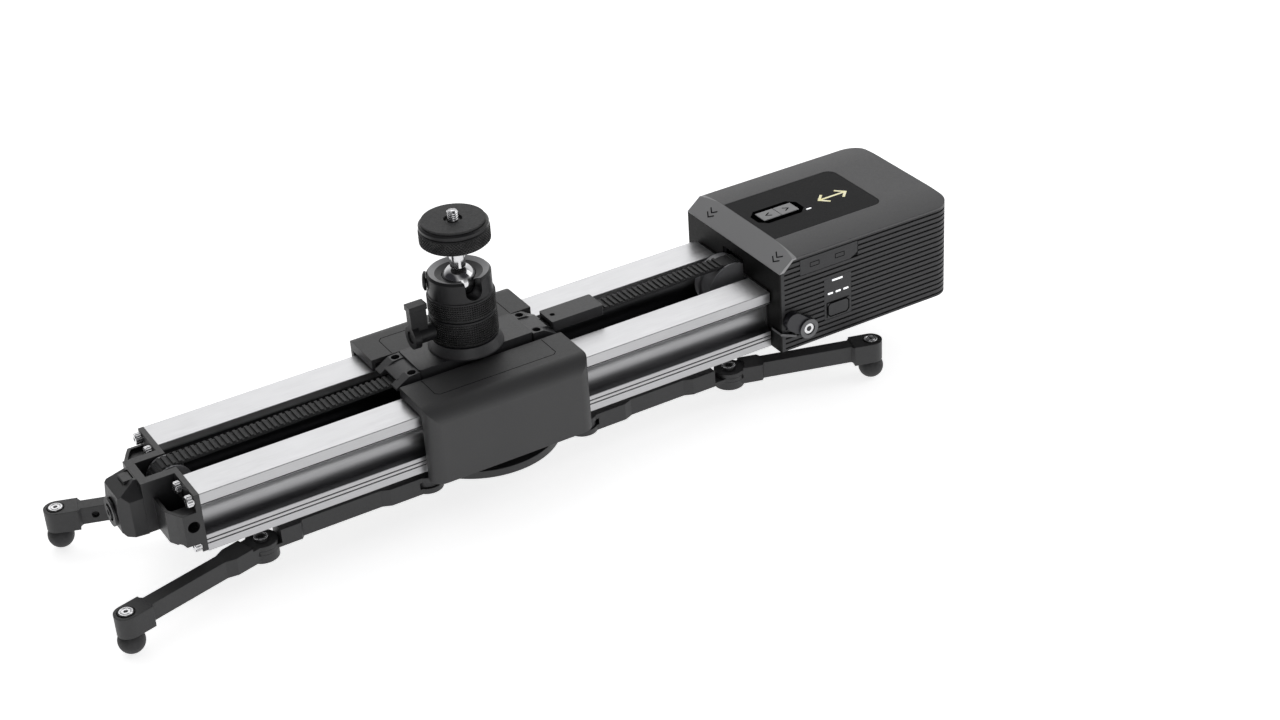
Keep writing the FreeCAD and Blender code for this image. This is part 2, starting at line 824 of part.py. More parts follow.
LEG_CORNERS = (
    ("front_left", -1, -1, 15.2),
    ("rear_left", -1, 1, 19.3),
    ("front_right", 1, -1, 17.1),
    ("rear_right", 1, 1, 17.4),
)


def arm(low, height, blocks, length):
    """Straight arm along +X. Each end's block is (near end, far end, bevel), counted from its own pivot."""
    thin = size("arm_half_width")
    thick = size("block_half")
    first_near, first_far, first_bevel = blocks[0]
    last_near, last_far, last_bevel = [length - blocks[1][0], length - blocks[1][1], blocks[1][2]]
    half_plan = [
        (first_near, thick),
        (first_far, thick),
        (first_far + first_bevel, thin),
        (last_far - last_bevel, thin),
        (last_far, thick),
        (last_near, thick),
    ]
    plan = half_plan + [(x, -y) for x, y in reversed(half_plan)]
    return pad("XY_Plane", plan, height, offset=low)


def make_link(name, end, side):
    """Inner link: a fork round the base block's lug and a tongue for the leg."""
    low = size("link_bottom")
    length = size("outer_hinge_x") - size("inner_hinge_x")
    last_block = (13.0, 27.5, 5.0) if end > 0 else (8.9, 20.0, 1.8)
    shaft = arm(low, "sizes.arm_height", ((0, 24.0, 5.0), last_block), length)
    knuckle = cylinder(0, 0, low, "sizes.knuckle_radius", "sizes.arm_height")
    tongue = cylinder(length, 0, low, "sizes.knuckle_radius", 2.2)
    neck = last_block[0] + 0.6
    tongue_neck = box(length - neck, -size("block_half"), low, neck, 2 * size("block_half"), 2.2)
    lug_room = cylinder(0, 0, 4.45, 9.4, 3.9)
    lug_sweep = box(-20, -20, 4.45, 20, 40, 3.9)
    first_bore = cylinder(0, 0, -5, 2.45, 30)
    second_bore = cylinder(length, 0, -5, 2.45, 30)
    link = cut(fuse(shaft, knuckle, tongue, tongue_neck), lug_room, lug_sweep, first_bore, second_bore)
    spin = turn((0, 0, 1), 0 if end > 0 else 180)
    place(link, end * size("inner_hinge_x"), side * size("hinge_y"), 0, spin)
    node(f"link_{name}", link)


def make_leg(name, end, side, splay):
    """Outer leg: a fork round the link's tongue, an arm and a round end block above the ball foot."""
    length = size("leg_length")
    low = size("leg_bottom")
    reach = size("end_reach")
    radius = size("end_radius")
    hole_z = low + size("arm_height") - 5.0
    hole_side = 1 if end * side > 0 else -1
    first_block = (6.0, 18.0, 1.5) if end > 0 else (10.0, 20.5, 5.5)
    shaft = arm(low, "sizes.arm_height", (first_block, (8.0, reach, 1.5)), length)
    knuckle = cylinder(0, 0, -4.0, "sizes.knuckle_radius", 10.0)
    neck = box(4.0, -size("block_half"), low, 6.5, 2 * size("block_half"), 8.4)
    end_block = cylinder(length, 0, -4.0, radius, 12.0)
    end_neck = box(length - reach, -radius, -4.0, reach, 2 * radius, 12.0)
    tools = [
        cylinder(0, 0, low + 3.6, 9.1, 2.4),
        box(-20, -20, low + 3.6, 20.0, 40, 2.4),
        cylinder(0, 0, 6.0, 9.1, 10),
        cylinder(length, 0, 7.0, 4.7, 3),
        cylinder(length, 0, -10, 2.5, 30),
        cylinder(0, 0, -10, 2.45, 30),
        cylinder(length - 20.0, -hole_side * 4.1, hole_z, 2.0, 3.0, turn((1, 0, 0), -90 * hole_side)),
    ]
    leg = cut(fuse(shaft, knuckle, neck, end_block, end_neck), *tools)
    heading = splay * side if end > 0 else 180 - splay * side
    x = end * size("outer_hinge_x")
    y = side * size("hinge_y")
    place(leg, x, y, 0, turn((0, 0, 1), heading))
    foot_x = x + length * math.cos(math.radians(heading))
    foot_y = y + length * math.sin(math.radians(heading))
    ball = cut(
        fuse(sphere(0, 0, 0, "sizes.foot_radius"), cylinder(0, 0, 0, 5.0, 4.88)),
        cylinder(0, 0, 4.88, 12, 10), cylinder(0, 0, -1.0, 2.5, 20),
    )
    node(f"foot_{name}", place(ball, foot_x, foot_y, "sizes.foot_centre"))
    end_screw = cut(
        fuse(cylinder(0, 0, 7.02, 4.2, 1.3), cylinder(0, 0, -9.8, 2.45, 17.0)),
        cylinder(0, 0, 7.3, 1.5, 3),
    )
    place(end_screw, foot_x, foot_y, 0)
    pin = fuse(cylinder(x, y, -3.9, 2.4, 10.0), cylinder(x, y, 6.02, 3.7, 1.5))
    node(f"leg_{name}", group(leg, end_screw, cut(pin, cylinder(x, y, 6.6, 1.6, 3))))


def make_hinge_pins():
    pins = []
    for name, end, side, splay in LEG_CORNERS:
        pins.append(cylinder(end * size("inner_hinge_x"), side * size("hinge_y"), 1.3, 2.4, 9.8))
    node("base_hinge_pins", group(*pins))


def make_legs():
    for name, end, side, splay in LEG_CORNERS:
        make_link(name, end, side)
        make_leg(name, end, side, splay)
    make_hinge_pins()


# ---------------------------------------------------------------- motor unit

LEVER_X = 183.0
LEVER_RISE = 12.8


def motor_plan(inset, corner):
    """Plan outline of the motor unit: square towards the rails and round at the far end."""
    x0 = size("motor_start") + inset
    x1 = size("motor_start") + size("motor_length") - inset
    half = size("motor_half_width") - inset
    near = corner * 0.293
    return [
        (x0, -half),
        (x1 - corner, -half),
        (x1 - near, -half + near, x1, -half + corner),
        (x1, half - corner),
        (x1 - near, half - near, x1 - corner, half),
        (x0, half),
    ]


def bezel_bed(gap):
    """Side view of the room that the sloped bezel takes out of the shell's corner, as (x, z)."""
    start = size("motor_start")
    high = size("shell_top")
    return [
        (start - 2, high - 6.0),
        (start + 2.9 + gap, high - 6.0),
        (start + 9.3 + gap, high + 0.03),
        (start + 9.3 + gap, high + 2),
        (start - 2, high + 2),
    ]


def jaw_ledge(side):
    """Narrow ledge under the clamp lever that turns round the shell's corner and ends beside the rail."""
    half = size("motor_half_width")
    start = size("motor_start")
    z = size("motor_bottom") + LEVER_RISE
    slope = [
        (start - 1.3, z - 0.6),
        (start - 1.3, z + 1.0),
        (LEVER_X - 6.6, z - 3.2),
        (LEVER_X - 6.6, z - 4.8),
    ]
    along = pad("XZ_Plane", slope, 2.3, offset=-half - 2.1 if side > 0 else half - 0.2)
    across = box(start - 1.3, min(side * (half + 2.1), side * 40.0), z - 0.6, 1.5, half + 2.1 - 40.0, 1.6)
    return fuse(along, across)


def make_shell():
    """Ribbed lower shell, hollow, with the rails' opening in its left wall."""
    low = size("motor_bottom")
    wall = size("shell_wall")
    corner = size("motor_corner")
    outside = pad("XY_Plane", motor_plan(0, corner), "sizes.shell_top - sizes.motor_bottom", offset=low)
    inside = pad("XY_Plane", motor_plan(wall, corner - wall), 80.0, offset=low + wall)
    grooves = []
    step = size("rib_pitch")
    depth = size("rib_depth")
    count = int((size("shell_top") - low) / step)
    half = size("motor_half_width")
    for number in range(count):
        z = low + 1.2 + number * step
        band = pad("XY_Plane", motor_plan(-3.0, corner + 3.0), 1.1, offset=z)
        keep = pad("XY_Plane", motor_plan(depth, corner - depth), 1.3, offset=z - 0.1)
        grooves.append(cut(band, keep))
    plain_end = box(size("motor_start") - 4, -60, low - 1, 7.0, 120, 60)
    ribs = cut(fuse(*grooves), plain_end)
    mouth = box(size("motor_start") - 1, -34.4, low - 1, wall + 2, 68.8, rail_top + 1.2 - low)
    belt_way = box(size("motor_start") - 1, -10.4, rail_top, wall + 2, 20.8, 8.4)
    bezel_seat = pad("XZ_Plane", bezel_bed(0.02), 120, offset=-60)
    window = box(197.0, -half - 1, low + 10.6, 18.6, 1.0 + 1.6, 26.2)
    power_hole = box(198.4, -half - 1, low + 11.6, 15.8, wall + 2, 10.0)
    flap_seat = box(181.0, -half - 1, low + 44.4, 39.4, 1.0 + 1.6, 10.2)
    port_hole = box(190.0, -half - 1, low + 46.5, 20.0, wall + 2, 6.0)
    openings = [mouth, belt_way, bezel_seat, window, power_hole, flap_seat, port_hole]
    for side in (-1, 1):
        spin = turn((1, 0, 0), 90 * side)
        openings.append(cylinder(LEVER_X, side * (half + 1), low + LEVER_RISE, 2.5, 5.0, spin))
    ledges = [jaw_ledge(side) for side in (-1, 1)]
    node("motor_shell", fuse(cut(cut(outside, inside), ribs, *openings), *ledges))


def crown_trims(start, length):
    """Tools that lower the top along both sides: a straight fall over the bezel, a curved one behind it."""
    top = size("motor_top")
    half = size("motor_half_width")
    flat = 24.0
    fall = 2.2
    tools = []
    for side in (-1, 1):
        arch = [
            (side * flat, top + 0.001),
            (side * (half + flat) / 2, top - 0.55, side * half, top - fall),
            (side * (half + 1), top - fall),
            (side * (half + 1), top + 1),
            (side * flat, top + 1),
        ]
        tools.append(pad("YZ_Plane", arch, length, offset=start))
    return tools


def make_motor_cover():
    """Smooth crowned top cover in one piece with its sloped bezel, and a recess for the control panel."""
    low = size("shell_top") + 0.02
    top = size("motor_top")
    half = size("motor_half_width")
    start = size("motor_start")
    block = pad("XY_Plane", motor_plan(0, size("motor_corner")), top - low, offset=low)
    slope = [
        (start - 3, low - 1),
        (start - 3, top + 2),
        (start + 13.4, top + 2),
        (start + 11.4, top),
        (start + 9.4, low - 1),
    ]
    front = pad("XZ_Plane", slope, 2 * half + 4, offset=-half - 2)
    recess = pad("XY_Plane", panel_plan(0.1), 5.0, offset=top - 1.7)
    key_well = box(start + 18.8, -4.8, low + 0.4, 24.2, 10.2, 6.0)
    cover_top = cut(block, front, recess, key_well, *crown_trims(start - 5, 200.0))
    node("motor_cover", fuse(cover_top, make_bezel()))


def panel_plan(grow):
    """Plan of the control panel, or of its recess when it is grown."""
    x0 = size("motor_start") + 11.7 - grow
    x1 = size("motor_start") + 86.0 + grow
    half = 26.0 + grow
    corner = 6.0
    near = corner * 0.293
    return [
        (x0, -half),
        (x1 - corner, -half),
        (x1 - near, -half + near, x1, -half + corner),
        (x1, half - corner),
        (x1 - near, half - near, x1 - corner, half),
        (x0, half),
    ]


def make_bezel():
    """Sloped end bezel that faces the rails."""
    start = size("motor_start")
    top = size("motor_top")
    half = size("motor_half_width")
    low = size("shell_top")
    side_view = [
        (start, low - 5.98),
        (start, low - 5.6),
        (start + 11.3, top),
        (start + 11.6, top),
        (start + 11.6, low + 0.03),
        (start + 9.3, low + 0.03),
        (start + 2.9, low - 5.98),
    ]
    wedge = pad("XZ_Plane", side_view, 2 * half, offset=-half)
    return cut(wedge, *crown_trims(start - 5, 30.0))


def make_panel():
    """Glossy control panel with the two key openings."""
    top = size("motor_top")
    start = size("motor_start")
    plate = pad("XY_Plane", panel_plan(0), 1.6, offset=top - 1.68)
    keys = box(start + 18.6, -5.0, top - 3, 24.6, 10.6, 6)
    node("control_panel", cut(plate, keys))
    for number, label in ((0, "key_reverse"), (1, "key_forward")):
        x = start + 19.0 + number * 12.1
        node(label, box(x, -4.6, top - 1.6, 11.7, 9.8, 1.9))
    return box(start + 46.0, -7.6, top - 0.06, 3.2, 0.9, 0.3)


def make_side_controls(panel_light):
    """Indicator panel with its light bars, the power button in it and the flap over the ports."""
    low = size("motor_bottom")
    half = size("motor_half_width")
    plate = box(197.1, -half + 0.02, low + 10.7, 18.4, 1.5, 26.0)
    button_hole = box(198.6, -half - 1, low + 11.8, 15.4, 4.0, 9.6)
    bars = [box(202.6, -half - 0.1, low + 34.3, 7.0, 0.6, 1.0)]
    slots = [box(202.5, -half - 1, low + 34.2, 7.2, 1.6, 1.2)]
    for number in range(3):
        bars.append(box(199.6 + number * 5.3, -half - 0.1, low + 26.4, 3.3, 0.6, 1.0))
        slots.append(box(199.5 + number * 5.3, -half - 1, low + 26.3, 3.5, 1.6, 1.2))
    node("indicator_panel", cut(plate, button_hole, *slots))
    node("indicator_lights", group(panel_light, *bars))
    node("power_button", box(198.9, -half - 0.5, low + 12.1, 14.8, 2.6, 9.0))
    flap_view = [
        (181.3, low + 54.3),
        (220.1, low + 54.3),
        (220.1, low + 47.6),
        (215.0, low + 44.6),
        (181.3, low + 44.6),
    ]
    node("port_flap", pad("XZ_Plane", flap_view, 1.4, offset=half - 1.5))


def make_clamp_levers():
    """Quick-release levers that lock the motor unit to the rails: one on each side."""
    low = size("motor_bottom")
    half = size("motor_half_width")
    x = LEVER_X
    z = low + LEVER_RISE
    for side, label in ((-1, "clamp_lever_front"), (1, "clamp_lever_rear")):
        spin = turn((1, 0, 0), -90 * side)
        hub = cylinder(x, side * (half + 0.4), z, 6.0, 5.0, spin)
        stem = cylinder(x, side * (half - 2.4), z, 2.45, 4.0, spin)
        outline = [
            (x + 3.0, z + 4.0),
            (x - 5.3, z + 10.7),
            (x - 13.0, z + 9.6, x - 11.8, z + 1.9),
            (x - 3.0, z - 4.0),
        ]
        arm = pad("XZ_Plane", outline, 3.8, offset=-half - 4.4 if side > 0 else half + 0.6)
        face = cylinder(x, side * (half + 4.6), z, 3.4, 3.0, spin)
        node(label, cut(fuse(hub, stem, arm), face))


def make_internals():
    """Drive motor with its pinion behind the drive pulley, and the battery pack."""
    low = size("motor_bottom")
    axis = size("drive_x") + size("gear_radius") + size("pinion_radius") + 0.3
    shaft = 2.0
    body_y = 12.0
    body_length = 31.0
    motor = fuse(
        cylinder(axis, body_y, "sizes.drive_z", 12.8, body_length, ALONG_Y),
        cylinder(axis, GEAR_Y - 1.4, "sizes.drive_z", shaft, 7.1, ALONG_Y),
        box(axis - 11, body_y, low + 2.62, 22.0, body_length, 14.0),
    )
    node("drive_motor", motor)
    bore = cylinder(axis, 0, "sizes.drive_z", shaft + size("running_gap"), 20, ALONG_Y)
    pinion = cylinder(axis, GEAR_Y, "sizes.drive_z", "sizes.pinion_radius", GEAR_WIDTH, ALONG_Y)
    node("drive_pinion", cut(pinion, bore))
    node("battery_pack", box(214.0, -30.0, low + 2.62, 62.0, 60.0, 20.0))


# ---------------------------------------------------------------- ball head

KNOB_HEADING = 150.0
KNOB_SPIN = turn((0, 0, 1), KNOB_HEADING).multiply(ALONG_X)


def about_head(reach, degrees):
    """Place at a distance from the head's axis, in a direction about it."""
    angle = math.radians(degrees)
    return size("carriage_x") + reach * math.cos(angle), reach * math.sin(angle)


def make_head_body():
    """Fixed flange, and the housing: two knurled bands, a dished mouth, a drop notch and its bores."""
    centre = size("carriage_x")
    deck = size("deck_top") + 0.02
    low = size("head_low")
    band = size("band_radius")
    flange_profile = [
        (0, deck),
        (size("flange_radius"), deck),
        (size("flange_radius"), deck + 0.8),
        (band + 0.3, low - 0.3),
        (0, low - 0.3),
    ]
    node("head_flange", place(revolve(flange_profile), centre, 0, 0))
    waist = low + 14.5
    housing = size("housing_radius")
    rim = size("housing_top")
    mouth = size("mouth_radius")
    cavity = size("ball_radius") + 0.3
    middle = size("ball_z")
    body_profile = [
        (0, low),
        (band - 0.6, low),
        (band, low + 0.6),
        (band, waist),
        (band - 0.8, waist + 0.4),
        (band, waist + 1.0),
        (band, size("band_top")),
        (housing, size("band_top") + 0.4),
        (housing, rim - 1.1),
        (size("mouth_lip"), rim),
        (mouth, middle + math.sqrt(cavity ** 2 - mouth ** 2)),
        (cavity, middle, 0, middle - cavity),
    ]
    shell = place(revolve(body_profile), centre, 0, 0)
    x, y = about_head(housing - 2.0, KNOB_HEADING)
    tools = [
        box(centre - 4.8, -housing - 2, middle, 9.6, housing + 2 - 3, 20),
        cylinder(centre, -3.0, middle, 4.8, housing, turn((1, 0, 0), 90)),
        cylinder(centre + 2.0, -band - 0.1, low + 8.0, 1.4, 2.0, ALONG_Y),
        cylinder(centre - band - 1, 0, low + 7.3, 3.0, 8.0, ALONG_X),
        cylinder(x, y, rim - 5.6, 1.6, 6.0, KNOB_SPIN),
    ]
    node("head_body", cut(shell, *tools))


def make_head_controls():
    """Ball tension knob at the back, and the lock lever with its winged grip."""
    centre = size("carriage_x")
    band = size("band_radius")
    housing = size("housing_radius")
    height = size("housing_top") - 5.6
    stem_x, stem_y = about_head(housing - 1.6, KNOB_HEADING)
    disc_x, disc_y = about_head(housing + 0.35, KNOB_HEADING)
    rim_x, rim_y = about_head(housing + 1.34, KNOB_HEADING)
    stem = cylinder(stem_x, stem_y, height, 1.5, 2.0, KNOB_SPIN)
    disc = cylinder(disc_x, disc_y, height, 5.2, 1.0, KNOB_SPIN)
    rim = cone(rim_x, rim_y, height, 5.2, 3.8, 0.8, KNOB_SPIN)
    node("head_tension_knob", fuse(stem, disc, rim))
    axis = size("head_low") + 7.3
    left = centre - 31.5
    barrel = cylinder(left + 0.5, 0, axis, 4.8, 30.7 - band, ALONG_X)
    shank = cylinder(centre - band - 1.5, 0, axis, 2.9, 6.0, ALONG_X)
    hub = cylinder(left, 0, axis, 6.6, 3.6, ALONG_X)
    wing = box(left, -2.6, axis, 9.4, 5.2, 19.0)
    lip = box(left - 0.5, -3.2, axis + 15.8, 10.4, 6.4, 3.2)
    dimple = cylinder(left - 0.5, 0, axis, 3.6, 1.4, ALONG_X)
    node("lock_lever", cut(fuse(barrel, shank, hub, wing, lip), dimple))


def make_ball_and_platform():
    """Ball with its stem, the round platform with a waist groove, its rubber pad and the camera screw."""
    centre = size("carriage_x")
    radius = size("ball_radius")
    middle = size("ball_z")
    flat = cylinder(centre, 0, middle - radius - 2, 30, 3.6)
    ball = cut(sphere(centre, 0, "sizes.ball_z", "sizes.ball_radius"), flat)
    stem = cylinder(centre, 0, "sizes.ball_z", "sizes.stem_radius", "sizes.platform_low - sizes.ball_z - 0.1")
    node("head_ball", fuse(ball, stem))
    wide = size("platform_radius")
    bottom = size("platform_low")
    top = size("platform_top")
    waist = bottom + 8.2
    profile = [
        (0, bottom),
        (wide - 0.9, bottom),
        (wide, bottom + 0.9),
        (wide, waist),
        (wide - 0.7, waist + 0.4),
        (wide - 0.7, waist + 0.9),
        (wide, waist + 1.3),
        (wide, top - 0.8),
        (wide - 0.8, top),
        (0, top),
    ]
    node("head_platform", place(revolve(profile), centre, 0, 0))
    pad_disc = cylinder(centre, 0, top + 0.02, wide - 1.6, 1.4)
    node("platform_pad", cut(pad_disc, cylinder(centre, 0, top - 1, 5.0, 4)))
    node("camera_screw", cylinder(centre, 0, top + 0.02, "sizes.camera_screw", 6.0))


make_rails()
make_left_bracket()
make_tensioner()
make_right_bracket()
make_bracket_screws()
make_belt()
make_pulleys()
make_covers()
deck_screws = make_deck()
make_clamps()
make_rollers(deck_screws)
make_base()
make_legs()
make_shell()
make_motor_cover()
make_side_controls(make_panel())
make_clamp_levers()
make_internals()
make_head_body()
make_head_controls()
make_ball_and_platform()
doc.recompute()

faults = [item.Label for item in doc.Objects if {"Invalid", "Error"} & set(item.State)]
for item in NODES:
    if item.Shape.isNull() or not item.Shape.isValid() or not item.Shape.Solids:
        faults.append(item.Label)
if faults:
    raise SystemExit("failed objects: " + ", ".join(faults))

os.makedirs("parts", exist_ok=True)
for item in NODES:
    item.Shape.exportStep(f"parts/{item.Label}.step")
    print(item.Label, len(item.Shape.Solids), round(item.Shape.Volume))
print("nodes", len(NODES))
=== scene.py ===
import json
import math

import bpy
from mathutils import Matrix, Vector


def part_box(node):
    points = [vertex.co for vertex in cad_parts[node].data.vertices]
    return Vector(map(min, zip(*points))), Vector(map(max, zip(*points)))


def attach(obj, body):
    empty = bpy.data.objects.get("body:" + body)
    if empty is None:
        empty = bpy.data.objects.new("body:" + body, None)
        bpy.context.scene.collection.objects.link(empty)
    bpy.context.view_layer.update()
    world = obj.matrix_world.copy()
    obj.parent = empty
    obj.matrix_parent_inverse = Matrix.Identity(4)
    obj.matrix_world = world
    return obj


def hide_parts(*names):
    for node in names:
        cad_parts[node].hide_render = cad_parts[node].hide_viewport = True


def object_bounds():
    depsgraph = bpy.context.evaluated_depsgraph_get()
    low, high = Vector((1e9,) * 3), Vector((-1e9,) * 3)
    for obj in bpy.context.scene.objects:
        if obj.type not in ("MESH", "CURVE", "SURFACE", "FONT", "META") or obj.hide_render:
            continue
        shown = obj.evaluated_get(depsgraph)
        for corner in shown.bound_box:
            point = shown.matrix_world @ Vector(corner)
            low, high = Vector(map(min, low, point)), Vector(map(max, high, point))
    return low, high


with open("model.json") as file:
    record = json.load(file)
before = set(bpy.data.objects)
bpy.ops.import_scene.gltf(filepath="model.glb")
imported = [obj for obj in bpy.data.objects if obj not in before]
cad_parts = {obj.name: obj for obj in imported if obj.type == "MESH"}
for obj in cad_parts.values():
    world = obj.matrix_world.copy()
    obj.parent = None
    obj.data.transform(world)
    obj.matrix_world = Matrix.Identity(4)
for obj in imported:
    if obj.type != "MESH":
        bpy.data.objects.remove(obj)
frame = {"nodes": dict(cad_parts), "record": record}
cad_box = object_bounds()
NODES = frame["nodes"]
HEAD_X = -0.003
SKIN = 0.00005
LEVER_HUB = (0.183, 0.0529, 0.028)


# ---------------------------------------------------------------- materials

def shader(name):
    """A material with its node tree, Principled shader and object coordinates."""
    mat = bpy.data.materials.new(name)
    mat.use_nodes = True
    tree = mat.node_tree
    bsdf = tree.nodes["Principled BSDF"]
    coords = tree.nodes.new("ShaderNodeTexCoord")
    return mat, tree, bsdf, coords.outputs["Object"]


def link(tree, output, target):
    tree.links.new(output, target)


def stretched(tree, vector, scale):
    node = tree.nodes.new("ShaderNodeMapping")
    node.inputs["Scale"].default_value = scale
    link(tree, vector, node.inputs["Vector"])
    return node.outputs["Vector"]


def noise(tree, vector, scale, detail=3.0, rough=0.6):
    node = tree.nodes.new("ShaderNodeTexNoise")
    node.inputs["Scale"].default_value = scale
    node.inputs["Detail"].default_value = detail
    node.inputs["Roughness"].default_value = rough
    link(tree, vector, node.inputs["Vector"])
    return node.outputs["Fac"]


def span(tree, value, low, high, out_low=0.0, out_high=1.0):
    node = tree.nodes.new("ShaderNodeMapRange")
    link(tree, value, node.inputs["Value"])
    for socket, number in zip(("From Min", "From Max", "To Min", "To Max"), (low, high, out_low, out_high)):
        node.inputs[socket].default_value = number
    return node.outputs["Result"]


def math_node(tree, kind, a, b):
    node = tree.nodes.new("ShaderNodeMath")
    node.operation = kind
    for socket, value in zip(node.inputs, (a, b)):
        if isinstance(value, (int, float)):
            socket.default_value = value
        else:
            link(tree, value, socket)
    return node.outputs["Value"]


def blend_colour(tree, factor, first, second):
    """Colour between two, each a tuple or another node's output."""
    node = tree.nodes.new("ShaderNodeMix")
    node.data_type = "RGBA"
    link(tree, factor, node.inputs["Factor"])
    sockets = [s for s in node.inputs if s.type == "RGBA"]
    for socket, value in zip(sockets, (first, second)):
        if isinstance(value, tuple):
            socket.default_value = (*value, 1.0)
        else:
            link(tree, value, socket)
    return [s for s in node.outputs if s.type == "RGBA"][0]


def coordinate(tree, vector, axis):
    """One coordinate of a place on the part, in metres."""
    node = tree.nodes.new("ShaderNodeSeparateXYZ")
    link(tree, vector, node.inputs["Vector"])
    return node.outputs[axis]


def rail_painted_shade(tree, vector):
    """How much painted shade each rail face gets: shadow on the inner faces, shade and dark reflection on the
    roller track growing towards its foot, a dark line along the groove, and light shade on the outer flank.
    """
    def both(a, b):
        return math_node(tree, "MULTIPLY", a, b)

    def either(a, b):
        return math_node(tree, "MAXIMUM", a, b)

    across = math_node(tree, "ABSOLUTE", coordinate(tree, vector, "Y"), 0.0)
    height = coordinate(tree, vector, "Z")
    inner = both(span(tree, across, 0.0226, 0.0222), span(tree, height, 0.0468, 0.0455))
    sunk = both(span(tree, across, 0.0384, 0.0381), span(tree, across, 0.0279, 0.0281))
    slope = span(tree, height, 0.0405, 0.0270, 0.0, 0.93)
    groove = span(tree, height, 0.0434, 0.0435)
    below_lip = span(tree, height, 0.0446, 0.0444)
    track = both(both(either(slope, groove), sunk), below_lip)
    flank = both(span(tree, across, 0.0383, 0.0384), 0.2)
    return either(either(inner, track), flank)


def bezel_zone(tree, vector):
    """1 on the motor cover's sloped bezel, 0 behind it."""
    return span(tree, coordinate(tree, vector, "X"), 0.1790, 0.1786)


def shell_end_shade(tree, vector):
    """Painted shade on the motor shell's inner end wall: 1 there, 0 on its ribbed sides."""
    return span(tree, coordinate(tree, vector, "X"), 0.1685, 0.1681)


def edge_mask(tree, radius):
    """Soft normal across edges, and how strongly a place lies on an edge."""
    bevel = tree.nodes.new("ShaderNodeBevel")
    bevel.samples = 4
    bevel.inputs["Radius"].default_value = radius
    geometry = tree.nodes.new("ShaderNodeNewGeometry")
    dot = tree.nodes.new("ShaderNodeVectorMath")
    dot.operation = "DOT_PRODUCT"
    link(tree, bevel.outputs["Normal"], dot.inputs[0])
    link(tree, geometry.outputs["Normal"], dot.inputs[1])
    return bevel.outputs["Normal"], span(tree, dot.outputs["Value"], 0.995, 0.88)


def surface(name, colour, rough, metallic=0.0, grain=900.0, bump=0.05, depth=0.0002, vary=0.15, wear_and_sheen=0.5,
            edge=0.0004, stretch=(1, 1, 1), worn_and_sheen=None, specular=0.5, zone=None, zone_colour=None,
            zone_specular=None, hollow_shade=0.0):
    """Procedural finish: mottled colour, uneven roughness, fine grain, lighter edges (wear, and a painted
    highlight on the belt and knurl) and painted shade in hollows.
    """
    mat, tree, bsdf, vector = shader(name)
    place = stretched(tree, vector, stretch)
    broad = noise(tree, vector, 28.0, 4.0)
    fine = noise(tree, place, grain, 4.0)
    dark = tuple(c * (1 - vary) for c in colour)
    light = tuple(min(1.0, c * (1 + vary)) for c in colour)
    mottled = blend_colour(tree, span(tree, broad, 0.3, 0.7), dark, light)
    final = blend_colour(tree, span(tree, fine, 0.35, 0.65), mottled, light)
    if zone:
        final = blend_colour(tree, zone(tree, vector), final, zone_colour)
    normal, mask = edge_mask(tree, edge)
    # Lighter edges: wear on most finishes, and a painted highlight where the lightening is strong, as on the
    # belt's teeth and the head's knurl.
    rubbed_and_sheen = math_node(tree, "MULTIPLY", mask, span(tree, noise(tree, vector, 180.0), 0.35, 0.7, 0.0, wear_and_sheen))
    final = blend_colour(tree, rubbed_and_sheen, final, worn_and_sheen or tuple(min(1.0, c * 1.8 + 0.04) for c in colour))
    # Painted shade: ambient occlusion darkens hollows, rib gaps and the gaps between parts towards near
    # black.
    if hollow_shade:
        hollow = tree.nodes.new("ShaderNodeAmbientOcclusion")
        hollow.samples = 6
        hollow.inputs["Distance"].default_value = 0.0016
        hollow_shaded = span(tree, hollow.outputs["AO"], 0.75, 0.25, 0.0, hollow_shade)
        final = blend_colour(tree, hollow_shaded, final, (0.004, 0.004, 0.004))
    link(tree, final, bsdf.inputs["Base Color"])
    uneven = span(tree, noise(tree, place, grain * 0.4), 0.25, 0.75, rough - 0.06, rough + 0.08)
    link(tree, uneven, bsdf.inputs["Roughness"])
    bumped = tree.nodes.new("ShaderNodeBump")
    bumped.inputs["Strength"].default_value = bump
    bumped.inputs["Distance"].default_value = depth
    link(tree, fine, bumped.inputs["Height"])
    link(tree, normal, bumped.inputs["Normal"])
    link(tree, bumped.outputs["Normal"], bsdf.inputs["Normal"])
    bsdf.inputs["Metallic"].default_value = metallic
    bsdf.inputs["Specular IOR Level"].default_value = specular
    if zone_specular is not None:
        shine = span(tree, zone(tree, vector), 0.0, 1.0, specular, zone_specular)
        link(tree, shine, bsdf.inputs["Specular IOR Level"])
    return mat


